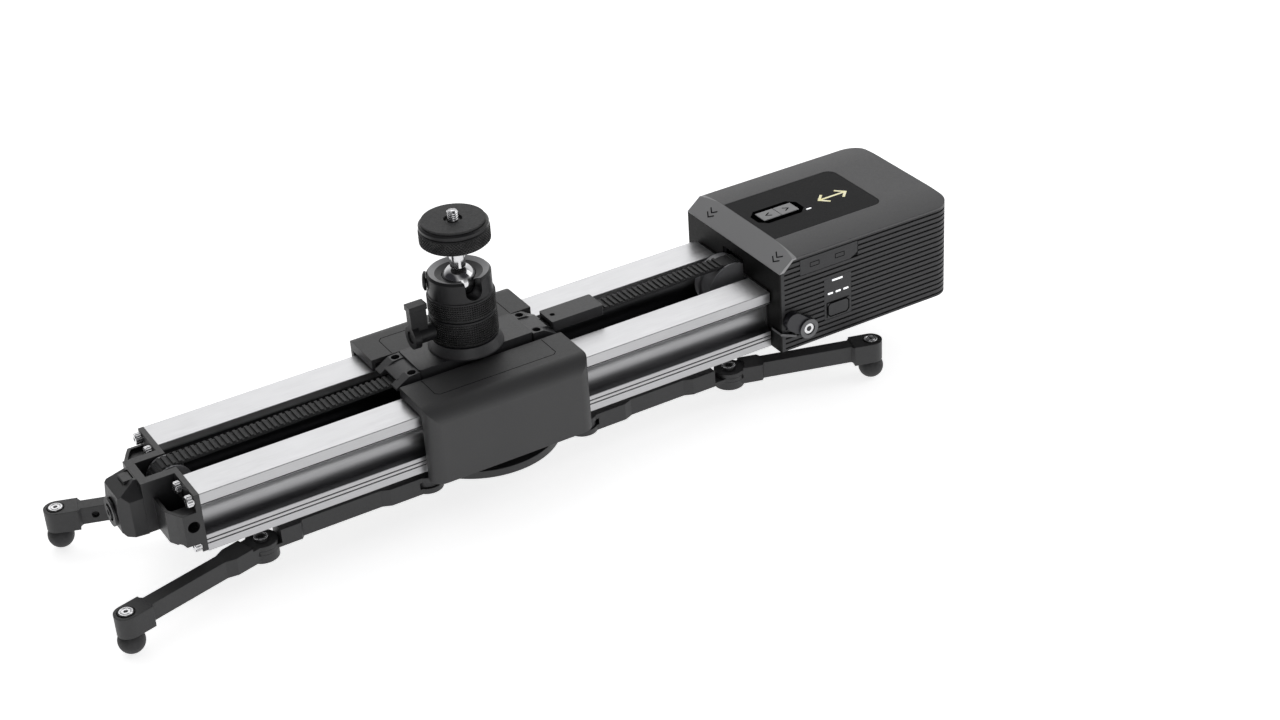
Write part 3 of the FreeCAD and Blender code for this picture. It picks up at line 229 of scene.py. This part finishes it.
FINISH = {
    # The rails' zone colour is painted shade: shadow on the inner faces, dark reflection on the roller track,
    # the groove line and the outer flank.
    "rail_metal": surface(
        "anodised_silver", (0.55, 0.55, 0.56), 0.34, metallic=1.0, grain=1500.0, depth=0.0001, vary=0.03,
        wear_and_sheen=0.3, edge=0.0003, stretch=(0.08, 1, 1), worn_and_sheen=(0.9, 0.9, 0.9), zone=rail_painted_shade,
        zone_colour=(0.04, 0.04, 0.042)),
    "bracket_paint": surface(
        "cast_black", (0.016, 0.016, 0.017), 0.4, grain=1400.0, bump=0.12, vary=0.2, wear_and_sheen=0.3,
        edge=0.0005),
    "leg_paint": surface(
        "leg_black", (0.028, 0.028, 0.029), 0.45, grain=1600.0, bump=0.15, vary=0.2, wear_and_sheen=0.35,
        edge=0.0006, specular=0.4),
    "cover_plastic": surface(
        "cover_grain", (0.042, 0.042, 0.043), 0.5, grain=2600.0, bump=0.1, vary=0.1, wear_and_sheen=0.2,
        specular=0.4),
    "deck_metal": surface(
        "deck_black", (0.03, 0.03, 0.032), 0.42, grain=1800.0, bump=0.08, wear_and_sheen=0.3, edge=0.0003),
    # The shell's zone colour and lower shine are painted shade on its inner end wall, which lies in shadow.
    "shell_plastic": surface(
        "shell_grain", (0.026, 0.026, 0.028), 0.48, grain=2200.0, bump=0.1, vary=0.12, wear_and_sheen=0.3,
        edge=0.0003, specular=0.4, zone=shell_end_shade, zone_colour=(0.008, 0.008, 0.008), zone_specular=0.12,
        hollow_shade=0.9),
    "top_plastic": surface(
        "top_satin", (0.075, 0.075, 0.077), 0.5, grain=2600.0, bump=0.06, vary=0.08, wear_and_sheen=0.06,
        edge=0.0006, specular=0.4, zone=bezel_zone, zone_colour=(0.33, 0.33, 0.335)),
    "panel_gloss": surface(
        "panel_dark", (0.014, 0.014, 0.015), 0.55, grain=3000.0, bump=0.03, depth=0.0001, vary=0.1,
        wear_and_sheen=0.15, edge=0.0003, specular=0.08),
    "key_plastic": surface(
        "key_grey", (0.26, 0.26, 0.265), 0.42, grain=2600.0, bump=0.06, depth=0.0001, vary=0.08, wear_and_sheen=0.2,
        edge=0.0006, hollow_shade=0.8),
    "rubber": surface(
        "rubber_black", (0.016, 0.016, 0.017), 0.62, grain=1800.0, bump=0.3, depth=0.0003, vary=0.25,
        wear_and_sheen=0.3, edge=0.0003),
    "steel": surface(
        "bright_steel", (0.68, 0.68, 0.69), 0.22, metallic=1.0, grain=2400.0, bump=0.1, depth=0.0001,
        vary=0.08, wear_and_sheen=0.2, edge=0.0002, hollow_shade=0.8),
    "chrome": surface(
        "polished_ball", (0.62, 0.62, 0.63), 0.12, metallic=1.0, grain=3000.0, bump=0.02, depth=0.0001,
        vary=0.03, wear_and_sheen=0.1, edge=0.0002),
    "head_paint": surface(
        "head_black", (0.012, 0.012, 0.013), 0.38, grain=2200.0, bump=0.08, wear_and_sheen=0.45, specular=0.3,
        hollow_shade=0.6),
    "roller_plastic": surface(
        "roller_black", (0.05, 0.05, 0.052), 0.4, grain=1800.0, bump=0.06, vary=0.1, wear_and_sheen=0.2,
        edge=0.0003),
    "gear_plastic": surface(
        "gear_grey", (0.22, 0.22, 0.23), 0.4, grain=1800.0, bump=0.06, vary=0.1, wear_and_sheen=0.2, edge=0.0003,
        hollow_shade=0.6),
    "battery_wrap": surface(
        "battery_blue", (0.03, 0.06, 0.14), 0.3, grain=1200.0, bump=0.1, wear_and_sheen=0.1, edge=0.0006),
}
# Painted highlight and shade: strong edge lightening picks out the belt's teeth, and painted shade darkens
# the gaps between them.
BELT = surface(
    "belt_rubber", (0.035, 0.035, 0.036), 0.55, grain=1600.0, bump=0.2, vary=0.2, wear_and_sheen=0.9, edge=0.0002,
    specular=0.25, worn_and_sheen=(0.16, 0.16, 0.16), hollow_shade=1.0)
# Painted highlight and shade: strong edge lightening picks out the knurl's studs, and painted shade darkens
# the hollows between them.
HEAD_KNURL = surface(
    "head_knurl", (0.006, 0.006, 0.006), 0.4, grain=2200.0, bump=0.08, wear_and_sheen=1.0, edge=0.0003,
    worn_and_sheen=(0.14, 0.14, 0.14), specular=0.25, hollow_shade=1.0)
LEVER_GREY = surface(
    "lever_grey", (0.12, 0.12, 0.125), 0.4, metallic=0.3, grain=2400.0, bump=0.08, depth=0.0001, vary=0.1,
    wear_and_sheen=0.3, edge=0.0002)
# Painted highlight: pale strips laid along the ledge's sloped edge and end beside each clamp lever.
LEDGE_HIGHLIGHT = surface(
    "ledge_highlight", (0.09, 0.09, 0.093), 0.45, grain=2400.0, bump=0.08, depth=0.0001, vary=0.1, wear_and_sheen=0.3,
    edge=0.0002)
SATIN_GREY = surface(
    "satin_grey", (0.22, 0.22, 0.225), 0.35, metallic=0.6, grain=2400.0, bump=0.08, depth=0.0001,
    vary=0.1, wear_and_sheen=0.3, edge=0.0002)


def glowing(name, colour, strength):
    """Self-lit finish, mottled between its colour and white."""
    mat, tree, bsdf, vector = shader(name)
    mottled = blend_colour(tree, noise(tree, vector, 400.0), colour, (1.0, 1.0, 1.0))
    link(tree, mottled, bsdf.inputs["Base Color"])
    link(tree, mottled, bsdf.inputs["Emission Color"])
    bsdf.inputs["Emission Strength"].default_value = strength
    bsdf.inputs["Roughness"].default_value = 0.4
    return mat


FINISH["light_white"] = glowing("light_window", (0.9, 0.93, 0.95), 0.7)
# Painted glow: the panel's printed yellow arrow is self-lit, though it is no lamp.
GLOWING_YELLOW_MARK = glowing("mark_yellow_glow", (0.80, 0.70, 0.05), 0.3)
MARK_BLACK = surface(
    "mark_black", (0.001, 0.001, 0.001), 0.9, grain=2500.0, depth=0.0001, vary=0.1, wear_and_sheen=0.0, edge=0.0001,
    specular=0.0)

LEVER_DARK = surface(
    "lever_dark", (0.012, 0.012, 0.016), 0.35, grain=2200.0, bump=0.08, wear_and_sheen=0.3, hollow_shade=0.6)
OWN_FINISH = {
    "belt": BELT,
    "clamp_lever_front": LEVER_DARK,
    "clamp_lever_rear": LEVER_DARK,
    "head_flange": FINISH["deck_metal"],
}

SLOT_OF = {entry["node"]: entry["material_slot"] for entry in frame["record"]["subparts"]}
for name, item in NODES.items():
    item.data.materials.clear()
    item.data.materials.append(OWN_FINISH.get(name, FINISH[SLOT_OF[name]]))


# ---------------------------------------------------------------- mesh pieces

def piece(name, body, slot, verts, faces, smooth=True, material=None):
    """A new mesh piece that rides on a body and takes its finish from a slot."""
    mesh = bpy.data.meshes.new(name)
    mesh.from_pydata([tuple(v) for v in verts], [], faces)
    mesh.validate()
    mesh.polygons.foreach_set("use_smooth", [smooth] * len(mesh.polygons))
    item = bpy.data.objects.new(name, mesh)
    bpy.context.scene.collection.objects.link(item)
    mesh.materials.append(material or FINISH[slot])
    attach(item, body)
    return item


def tube_faces(start, turns, rows):
    """Faces that join rows of vertices, each a full turn, from one row to the next."""
    faces = []
    for j in range(rows - 1):
        for i in range(turns):
            k = (i + 1) % turns
            low = start + j * turns
            faces.append((low + i, low + k, low + turns + k, low + turns + i))
    return faces


def turned(name, body, slot, spots, profile, material=None, turns=48, flutes=0, depth=0.0):
    """Rings turned from a profile of (radius, height) steps. A spot is (base centre, outward direction).
    With flutes, the steps of the widest radius are cut into that many shallow hollows."""
    verts = []
    faces = []
    widest = max(radius for radius, height in profile)
    for centre, way in spots:
        way = Vector(way).normalized()
        side = way.orthogonal().normalized()
        up = way.cross(side)
        start = len(verts)
        for radius, height in profile:
            for i in range(turns):
                angle = 2 * math.pi * i / turns
                cut = depth * (0.5 + 0.5 * math.cos(angle * flutes)) if flutes and radius == widest else 0.0
                spoke = side * math.cos(angle) + up * math.sin(angle)
                verts.append(Vector(centre) + spoke * (radius - cut) + way * height)
        faces += tube_faces(start, turns, len(profile))
    return piece(name, body, slot, verts, faces, False, material)


def knurled_band(name, body, slot, radius, low, high, count, lines, depth):
    """Band of small square studs round the vertical axis of the head."""
    per = 6
    turns = count * per
    steps = 5
    rows = lines * steps + 3
    verts = []
    for j in range(rows):
        z = low + (high - low) * j / (rows - 1)
        raised_row = 1 <= j <= lines * steps and (j - 1) % steps in (1, 2, 3)
        for i in range(turns):
            angle = 2 * math.pi * i / turns
            r = radius + (depth if raised_row and i % per < 4 else 0.0)
            if j in (0, rows - 1):
                r = radius - 0.0004
            verts.append((HEAD_X + r * math.cos(angle), r * math.sin(angle), z))
    return piece(name, body, slot, verts, tube_faces(0, turns, rows), False, HEAD_KNURL)


def diamond_band(name, body, slot, radius, low, high, count, lines, depth):
    """Band of diamond knurling round the vertical axis of the head."""
    per = 8
    turns = count * per
    rows = lines * per + 1
    verts = []
    for j in range(rows):
        z = low + (high - low) * j / (rows - 1)
        for i in range(turns):
            across = abs((i / per) % 1.0 - 0.5)
            along = abs((j / per) % 1.0 - 0.5)
            lift = depth * (1.0 - 2.0 * abs(across - along)) * min(1.0, 4.0 * max(across, 0.5 - across))
            r = radius + (lift if 0 < j < rows - 1 else -0.0003)
            angle = 2 * math.pi * i / turns
            verts.append((HEAD_X + r * math.cos(angle), r * math.sin(angle), z))
    return piece(name, body, slot, verts, tube_faces(0, turns, rows), False, HEAD_KNURL)


def ribbon(points, width):
    """Flat outline of a line of given width through (u, v) points, with square ends."""
    left = []
    right = []
    count = len(points)
    for i, point in enumerate(points):
        here = Vector(point)
        before = Vector(points[max(i - 1, 0)])
        after = Vector(points[min(i + 1, count - 1)])
        first = (here - before).normalized() if i > 0 else (after - here).normalized()
        second = (after - here).normalized() if i < count - 1 else first
        bisector = (first + second).normalized()
        normal = Vector((-bisector.y, bisector.x))
        reach = width / 2 / max(0.3, normal.dot(Vector((-first.y, first.x))))
        left.append(here + normal * reach)
        right.append(here - normal * reach)
    return left, right


def strips(lines, width, thick, place):
    """Raised bars along lines of (u, v) points. place maps (u, v, w) to the part, with w as the height."""
    verts = []
    faces = []
    for points in lines:
        left, right = ribbon(points, width)
        start = len(verts)
        for a, b in zip(left, right):
            verts += [place(a.x, a.y, -thick), place(b.x, b.y, -thick)]
            verts += [place(a.x, a.y, thick), place(b.x, b.y, thick)]
        for i in range(len(points) - 1):
            k = start + 4 * i
            n = k + 4
            faces += [(k + 2, k + 3, n + 3, n + 2), (k, k + 2, n + 2, n)]
            faces += [(k + 3, k + 1, n + 1, n + 3), (k + 1, k, n, n + 1)]
        last = start + 4 * (len(points) - 1)
        faces += [(start, start + 1, start + 3, start + 2), (last + 1, last, last + 2, last + 3)]
    return verts, faces


def mark(name, body, slot, lines, width, place, thick=SKIN, material=None):
    """A raised mark made of bars, as one mesh piece."""
    verts, faces = strips(lines, width, thick, place)
    return piece(name, body, slot, verts, faces, False, material)


def cut_corner_loop(u0, u1, v0, v1, cut):
    """Closed line round a rectangle with cut corners. It ends just past its start, so no gap shows."""
    return [(u0 + cut, v0), (u1 - cut, v0), (u1, v0 + cut), (u1, v1 - cut), (u1 - cut, v1), (u0 + cut, v1),
            (u0, v1 - cut), (u0, v0 + cut), (u0 + cut, v0), (u0 + cut + 0.0004, v0)]


def dress_mouth(rim):
    """Satin ring on the housing's dished mouth, left open where the notch is."""
    turns = 120
    notch_end, sweep = -72, 324
    rows = ((0.0160, -SKIN), (0.0162, 0.00012), (0.0159, 0.00012), (0.0107, -0.0020), (0.0105, -0.0030))
    verts = []
    faces = []
    for i in range(turns + 1):
        angle = math.radians(notch_end + sweep * i / turns)
        for radius, height in rows:
            verts.append((HEAD_X + radius * math.cos(angle), radius * math.sin(angle), rim + height))
    for i in range(turns):
        for j in range(len(rows) - 1):
            a, b = i * len(rows) + j, (i + 1) * len(rows) + j
            faces.append((a, b, b + 1, a + 1))
    piece("head_mouth_ring", "head", "head_paint", verts, faces, False, SATIN_GREY)


def camera_thread():
    """The platform's 1/4 inch screw with its 20 threads to the inch, in place of the plain CAD one."""
    lo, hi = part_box("camera_screw")
    core = 0.00255
    crest = 0.0031
    pitch = 0.00127
    turns = 48
    count = int((hi.z - lo.z) / pitch * turns)
    verts = []
    for i in range(count):
        angle = 2 * math.pi * i / turns
        z = lo.z + pitch * i / turns
        for r, shift in ((core, -0.45), (crest, 0.0), (core, 0.45)):
            height = min(max(z + shift * pitch, lo.z), hi.z - 0.0002)
            verts.append((HEAD_X + r * math.cos(angle), r * math.sin(angle), height))
    faces = []
    for i in range(count - 1):
        k = 3 * i
        faces += [(k, k + 3, k + 4, k + 1), (k + 1, k + 4, k + 5, k + 2)]
    sides = 24
    base = len(verts)
    for z in (lo.z, hi.z):
        for i in range(sides):
            angle = 2 * math.pi * i / sides
            verts.append((HEAD_X + core * math.cos(angle), core * math.sin(angle), z))
    faces += tube_faces(base, sides, 2)
    faces.append(tuple(base + sides + i for i in range(sides)))
    screw = piece("camera_thread", "platform", "steel", verts, faces)
    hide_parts("camera_screw")


def dress_head():
    """Knurled bands, the mouth's satin ring, the platform's knurled rim and the camera screw's thread."""
    lo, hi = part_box("head_body")
    radius, stud = 0.0177, 0.0007
    knurled_band("head_band_low", "head", "head_paint", radius, lo.z + 0.0012, lo.z + 0.0140, 84, 9, stud)
    knurled_band("head_band_high", "head", "head_paint", radius, lo.z + 0.0160, 0.0916, 84, 7, stud)
    dress_mouth(hi.z)
    lo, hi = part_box("head_platform")
    radius = (hi.x - lo.x) / 2 - 0.0002
    low, high = lo.z + 0.0008, lo.z + 0.0080
    diamond_band("platform_knurl", "platform", "head_paint", radius, low, high, 66, 4, 0.0006)
    camera_thread()


def dress_bezel():
    """Two pairs of chevrons on the cover's sloped bezel."""
    foot = Vector((0.1675, 0, 0.0654))
    head = Vector((0.1788, 0, 0.0745))
    run = (head - foot).normalized()
    out = Vector((-run.z, 0, run.x))
    middle = foot + run * 0.0072

    def on_bezel(u, v, w):
        return middle + run * v + Vector((0, u, 0)) + out * w

    reach, high, low, gap = 0.0034, 0.0022, -0.0002, 0.0031
    lines = []
    for y in (0.030, -0.037):
        for shift in (0.0, gap):
            lines.append([(y - reach, high - shift), (y, low - shift), (y + reach, high - shift)])
    mark("bezel_marks", "rails", "panel_gloss", lines, 0.0008, on_bezel, 0.00008)


def dress_panel():
    """The panel's double arrow, the dark surround of its keys and an arrow on each key."""
    panel_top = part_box("control_panel")[1].z

    def on_panel(u, v, w):
        return Vector((u, v, panel_top + w))

    x, y = 0.235, -0.002
    arrow = [[(x - 0.0080, y), (x + 0.0080, y)]]
    for way in (-1, 1):
        arrow.append([(x + way * 0.0045, y + 0.0048), (x + way * 0.0092, y), (x + way * 0.0045, y - 0.0048)])
    mark("panel_mark", "rails", "panel_gloss", arrow, 0.0015, on_panel, 0.00006, GLOWING_YELLOW_MARK)
    surround = cut_corner_loop(0.1845, 0.2125, -0.0064, 0.0070, 0.0035)
    mark("key_surround", "rails", "panel_gloss", [surround], 0.0032, on_panel, 0.00008, MARK_BLACK)
    for node, body, way in (("key_reverse", "reverse_key", -1), ("key_forward", "forward_key", 1)):
        lo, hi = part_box(node)
        x, y = (lo.x + hi.x) / 2, (lo.y + hi.y) / 2

        def on_key(u, v, w, top=hi.z):
            return Vector((u, v, top + w))

        back, tip, half = x - way * 0.0015, x + way * 0.0015, 0.0019
        arrow = [(back, y + half), (tip, y), (back, y - half)]
        mark(node + "_mark", body, "key_plastic", [arrow], 0.0007, on_key, 0.00006, MARK_BLACK)


def dress_front():
    """Plain outlines of ports on the flap, and the power button's dark outline."""
    lo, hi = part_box("port_flap")

    def on_flap(u, v, w, front=lo.y):
        return Vector((u, front - w, v))

    z = (lo.z + hi.z) / 2
    wide, high = 0.003, 0.0013
    outlines = []
    for x in (0.191, 0.208):
        corners = [(x - wide, z - high), (x + wide, z - high), (x + wide, z + high), (x - wide, z + high)]
        outlines.append(corners + corners[:1])
    mark("flap_marks", "flap", "shell_plastic", outlines, 0.00035, on_flap, material=MARK_BLACK)
    lo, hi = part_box("power_button")

    def on_button(u, v, w, front=lo.y):
        return Vector((u, front - w, v))

    inset = 0.0003
    outline = cut_corner_loop(lo.x + inset, hi.x - inset, lo.z + inset, hi.z - inset, 0.0016)
    mark("button_outline", "power_key", "key_plastic", [outline], 0.0007, on_button, material=MARK_BLACK)


def dress_levers():
    """Satin face and bright washer on each clamp lever's hub, and painted highlight strips along the edges of
    the ledge beside it.
    """
    hub_x, hub_y, hub_z = LEVER_HUB
    face = [(0.0060, -0.0006), (0.0060, -0.0001), (0.0058, 0.0001), (0.0037, 0.0001), (0.0034, -0.0006)]
    washer = [(0.0033, -0.0010), (0.0032, -0.0005), (0.0031, -0.0004), (0.0016, -0.0004), (0.0014, -0.0010)]
    ledge_x, ledge_y, ledge_top = 0.1662, 0.0496, 0.0282
    for side, label in ((-1, "front"), (1, "rear")):
        hub = [((hub_x, side * hub_y, hub_z), (0, side, 0))]
        turned(label + "_lever_face", label + "_lever", "steel", hub, face, LEVER_GREY)
        turned(label + "_lever_washer", label + "_lever", "steel", hub, washer)

        def on_ledge(u, v, w, side=side):
            return Vector((u, side * (ledge_y + w), v))

        def on_ledge_end(u, v, w, side=side):
            return Vector((ledge_x - w, side * u, v))

        # Painted highlight strips on the ledge's sloped edge and on its end.
        slope = [[(ledge_x, ledge_top), (0.1764, 0.0240)]]
        mark(label + "_ledge_edge", "rails", "shell_plastic", slope, 0.0014, on_ledge, 0.00008, LEDGE_HIGHLIGHT)
        end = [[(ledge_y, ledge_top), (0.0400, ledge_top)]]
        mark(label + "_ledge_end", "rails", "shell_plastic", end, 0.0014, on_ledge_end, 0.00008, LEDGE_HIGHLIGHT)


def dress_covers():
    """Thin styling line on both covers."""
    cover_top = 0.057
    left, right, cut = HEAD_X - 0.036, HEAD_X + 0.036, 0.002

    def on_top(u, v, w):
        return Vector((u, v, cover_top + w))

    for side, label in ((-1, "front"), (1, "rear")):
        outer = side * 0.0355
        inner = side * 0.0178
        line = [(left, inner), (left, outer - side * cut), (left + cut, outer), (right - cut, outer),
                (right, outer - side * cut), (right, inner)]
        mark(label + "_cover_line", "carriage", "cover_plastic", [line], 0.00035, on_top, material=MARK_BLACK)


def hex_rings(name, body, spots, outer, across, deep):
    """Hexagonal socket with a round rim for each screw. A spot is (mouth centre, outward direction)."""
    turns = 24
    verts = []
    faces = []
    for centre, way in spots:
        way = Vector(way).normalized()
        side = way.orthogonal().normalized()
        up = way.cross(side)
        start = len(verts)
        for level in (0.0, -deep):
            for i in range(turns):
                angle = 2 * math.pi * i / turns
                flat = (across / 2) / math.cos((angle % (math.pi / 3)) - math.pi / 6)
                spoke = side * math.cos(angle) + up * math.sin(angle)
                for r in (outer, flat):
                    verts.append(Vector(centre) + spoke * r + way * level)
        for i in range(turns):
            a, b = start + 2 * i, start + 2 * ((i + 1) % turns)
            faces.append((a, b, b + 1, a + 1))
            faces.append((a + 1, b + 1, b + 1 + 2 * turns, a + 1 + 2 * turns))
        faces.append(tuple(start + 2 * turns + 2 * i + 1 for i in range(turns)))
    return piece(name, body, "steel", verts, faces, smooth=False)


def dress_screws():
    """Knurled heads with hexagonal sockets on the bracket screws."""
    seat, tall = -0.17652, 0.00365
    rail_low = 0.016
    knurl = [(0.0029, 0.0002), (0.0032, 0.0005), (0.0032, 0.0030), (0.0028, tall), (0.0014, tall)]
    outward = (-1, 0, 0)
    seats = []
    for side in (-1, 1):
        for y, z in ((0.0355, 0.0303), (0.020, 0.0303), (0.0355, 0.0037)):
            seats.append(Vector((seat, side * y, rail_low + z)))
    heads = [(spot, outward) for spot in seats]
    turned("bracket_heads", "rails", "steel", heads, knurl, turns=96, flutes=16, depth=0.0003)
    mouths = [(spot + Vector(outward) * tall, outward) for spot in seats]
    hex_rings("bracket_sockets", "rails", mouths, 0.0014, 0.0022, 0.0013)


def dress_legs():
    """Bright socket screw over each foot and a ring round each outer pivot."""
    foot_top, pivot_top = 0.00832, 0.00752
    pivot_x, pivot_y = 0.143, 0.030
    rim = 0.0003
    disc = [(0.0037, 0.0), (0.0037, 0.0001), (0.0035, rim), (0.0030, rim), (0.0027, 0.00002),
            (0.0025, 0.00002), (0.0022, rim), (0.0016, rim), (0.0015, -0.0009)]
    ring = [(0.0037, -0.0001), (0.0038, 0.0), (0.0035, 0.00015), (0.0027, 0.00015), (0.0025, -0.0001)]
    up = (0, 0, 1)
    for end, corner_end in ((-1, "left"), (1, "right")):
        for side, corner_side in ((-1, "front"), (1, "rear")):
            corner = corner_side + "_" + corner_end
            body = "leg_" + corner
            lo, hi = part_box("foot_" + corner)
            x, y = (lo.x + hi.x) / 2, (lo.y + hi.y) / 2
            turned("foot_disc_" + corner, body, "steel", [((x, y, foot_top), up)], disc)
            mouth = [((x, y, foot_top + rim), up)]
            hex_rings("foot_socket_" + corner, body, mouth, 0.0016, 0.0022, 0.001)
            pivot = [((end * pivot_x, side * pivot_y, pivot_top), up)]
            turned("pivot_ring_" + corner, body, "steel", pivot, ring)


dress_head()
dress_bezel()
dress_panel()
dress_front()
dress_levers()
dress_covers()
dress_screws()
dress_legs()


# ---------------------------------------------------------------- stage

def build_floor():
    """Plain pale floor under the feet, large enough to fill every view down onto the part."""
    reach = 60.0
    corners = [(-reach, -reach, 0), (reach, -reach, 0), (reach, reach, 0), (-reach, reach, 0)]
    mesh = bpy.data.meshes.new("floor")
    mesh.from_pydata(corners, [], [(0, 1, 2, 3)])
    floor = bpy.data.objects.new("floor", mesh)
    floor.location.z = cad_box[0].z - 0.0002
    bpy.context.scene.collection.objects.link(floor)
    mat, tree, bsdf, vector = shader("floor_white")
    mottled = blend_colour(tree, noise(tree, vector, 2.0), (0.90, 0.90, 0.90), (0.93, 0.93, 0.93))
    link(tree, mottled, bsdf.inputs["Base Color"])
    bsdf.inputs["Roughness"].default_value = 0.9
    bsdf.inputs["Specular IOR Level"].default_value = 0.1
    bsdf.inputs["Emission Color"].default_value = (1.0, 1.0, 1.0, 1.0)
    bsdf.inputs["Emission Strength"].default_value = 0.75
    mesh.materials.append(mat)


def build_world():
    """White surroundings with a dark patch over the front and another beyond the left end."""
    world = bpy.data.worlds.new("studio")
    world.use_nodes = True
    tree = world.node_tree
    background = tree.nodes["Background"]
    coords = tree.nodes.new("ShaderNodeTexCoord")
    patches = []
    for way, first, last in (((0.30, -0.55, 0.78), 0.50, 0.92), ((-1.0, 0.0, 0.1), 0.2, 0.75)):
        dot = tree.nodes.new("ShaderNodeVectorMath")
        dot.operation = "DOT_PRODUCT"
        dot.inputs[1].default_value = way
        link(tree, coords.outputs["Generated"], dot.inputs[0])
        patches.append(span(tree, dot.outputs["Value"], first, last))
    shade = math_node(tree, "MAXIMUM", *patches)
    colour = blend_colour(tree, shade, (1.0, 1.0, 1.0), (0.04, 0.04, 0.045))
    link(tree, colour, background.inputs["Color"])
    background.inputs["Strength"].default_value = 0.95
    bpy.context.scene.world = world


def build_lights():
    """Three large soft lights, as (name, place, width, watts), all aimed at the rails' middle."""
    aim = Vector((0, 0, 0.03))
    lights = (
        ("key", (0.95, 1.6, 1.5), 2.0, 7.0),
        ("side", (1.9, -0.7, 1.2), 1.2, 6.0),
        ("front", (-0.5, -2.0, 0.35), 1.0, 3.0),
    )
    for name, spot, width, watts in lights:
        data = bpy.data.lights.new(name, "AREA")
        data.shape = "SQUARE"
        data.size = width
        data.energy = watts
        lamp = bpy.data.objects.new(name, data)
        lamp.location = spot
        lamp.rotation_euler = (aim - Vector(spot)).to_track_quat("-Z", "Y").to_euler()
        bpy.context.scene.collection.objects.link(lamp)


def build_camera():
    """Camera at the photo's angle, as fitted to the object's straight edges."""
    right = Vector((0.8545, -0.5166, -0.0547)).normalized()
    forward = Vector((0.4199, 0.7488, -0.5128)).normalized()
    up = right.cross(forward).normalized()
    right = forward.cross(up)
    data = bpy.data.cameras.new("camera")
    data.sensor_width = 36.0
    data.lens = 66.39
    data.clip_start = 0.01
    camera = bpy.data.objects.new("camera", data)
    turn = Matrix((right, up, -forward)).transposed()
    camera.matrix_world = Matrix.Translation((-0.4575, -0.9994, 0.6950)) @ turn.to_4x4()
    bpy.context.scene.collection.objects.link(camera)
    bpy.context.scene.camera = camera


build_floor()
build_world()
build_lights()
build_camera()
bpy.context.scene.view_settings.view_transform = "Standard"
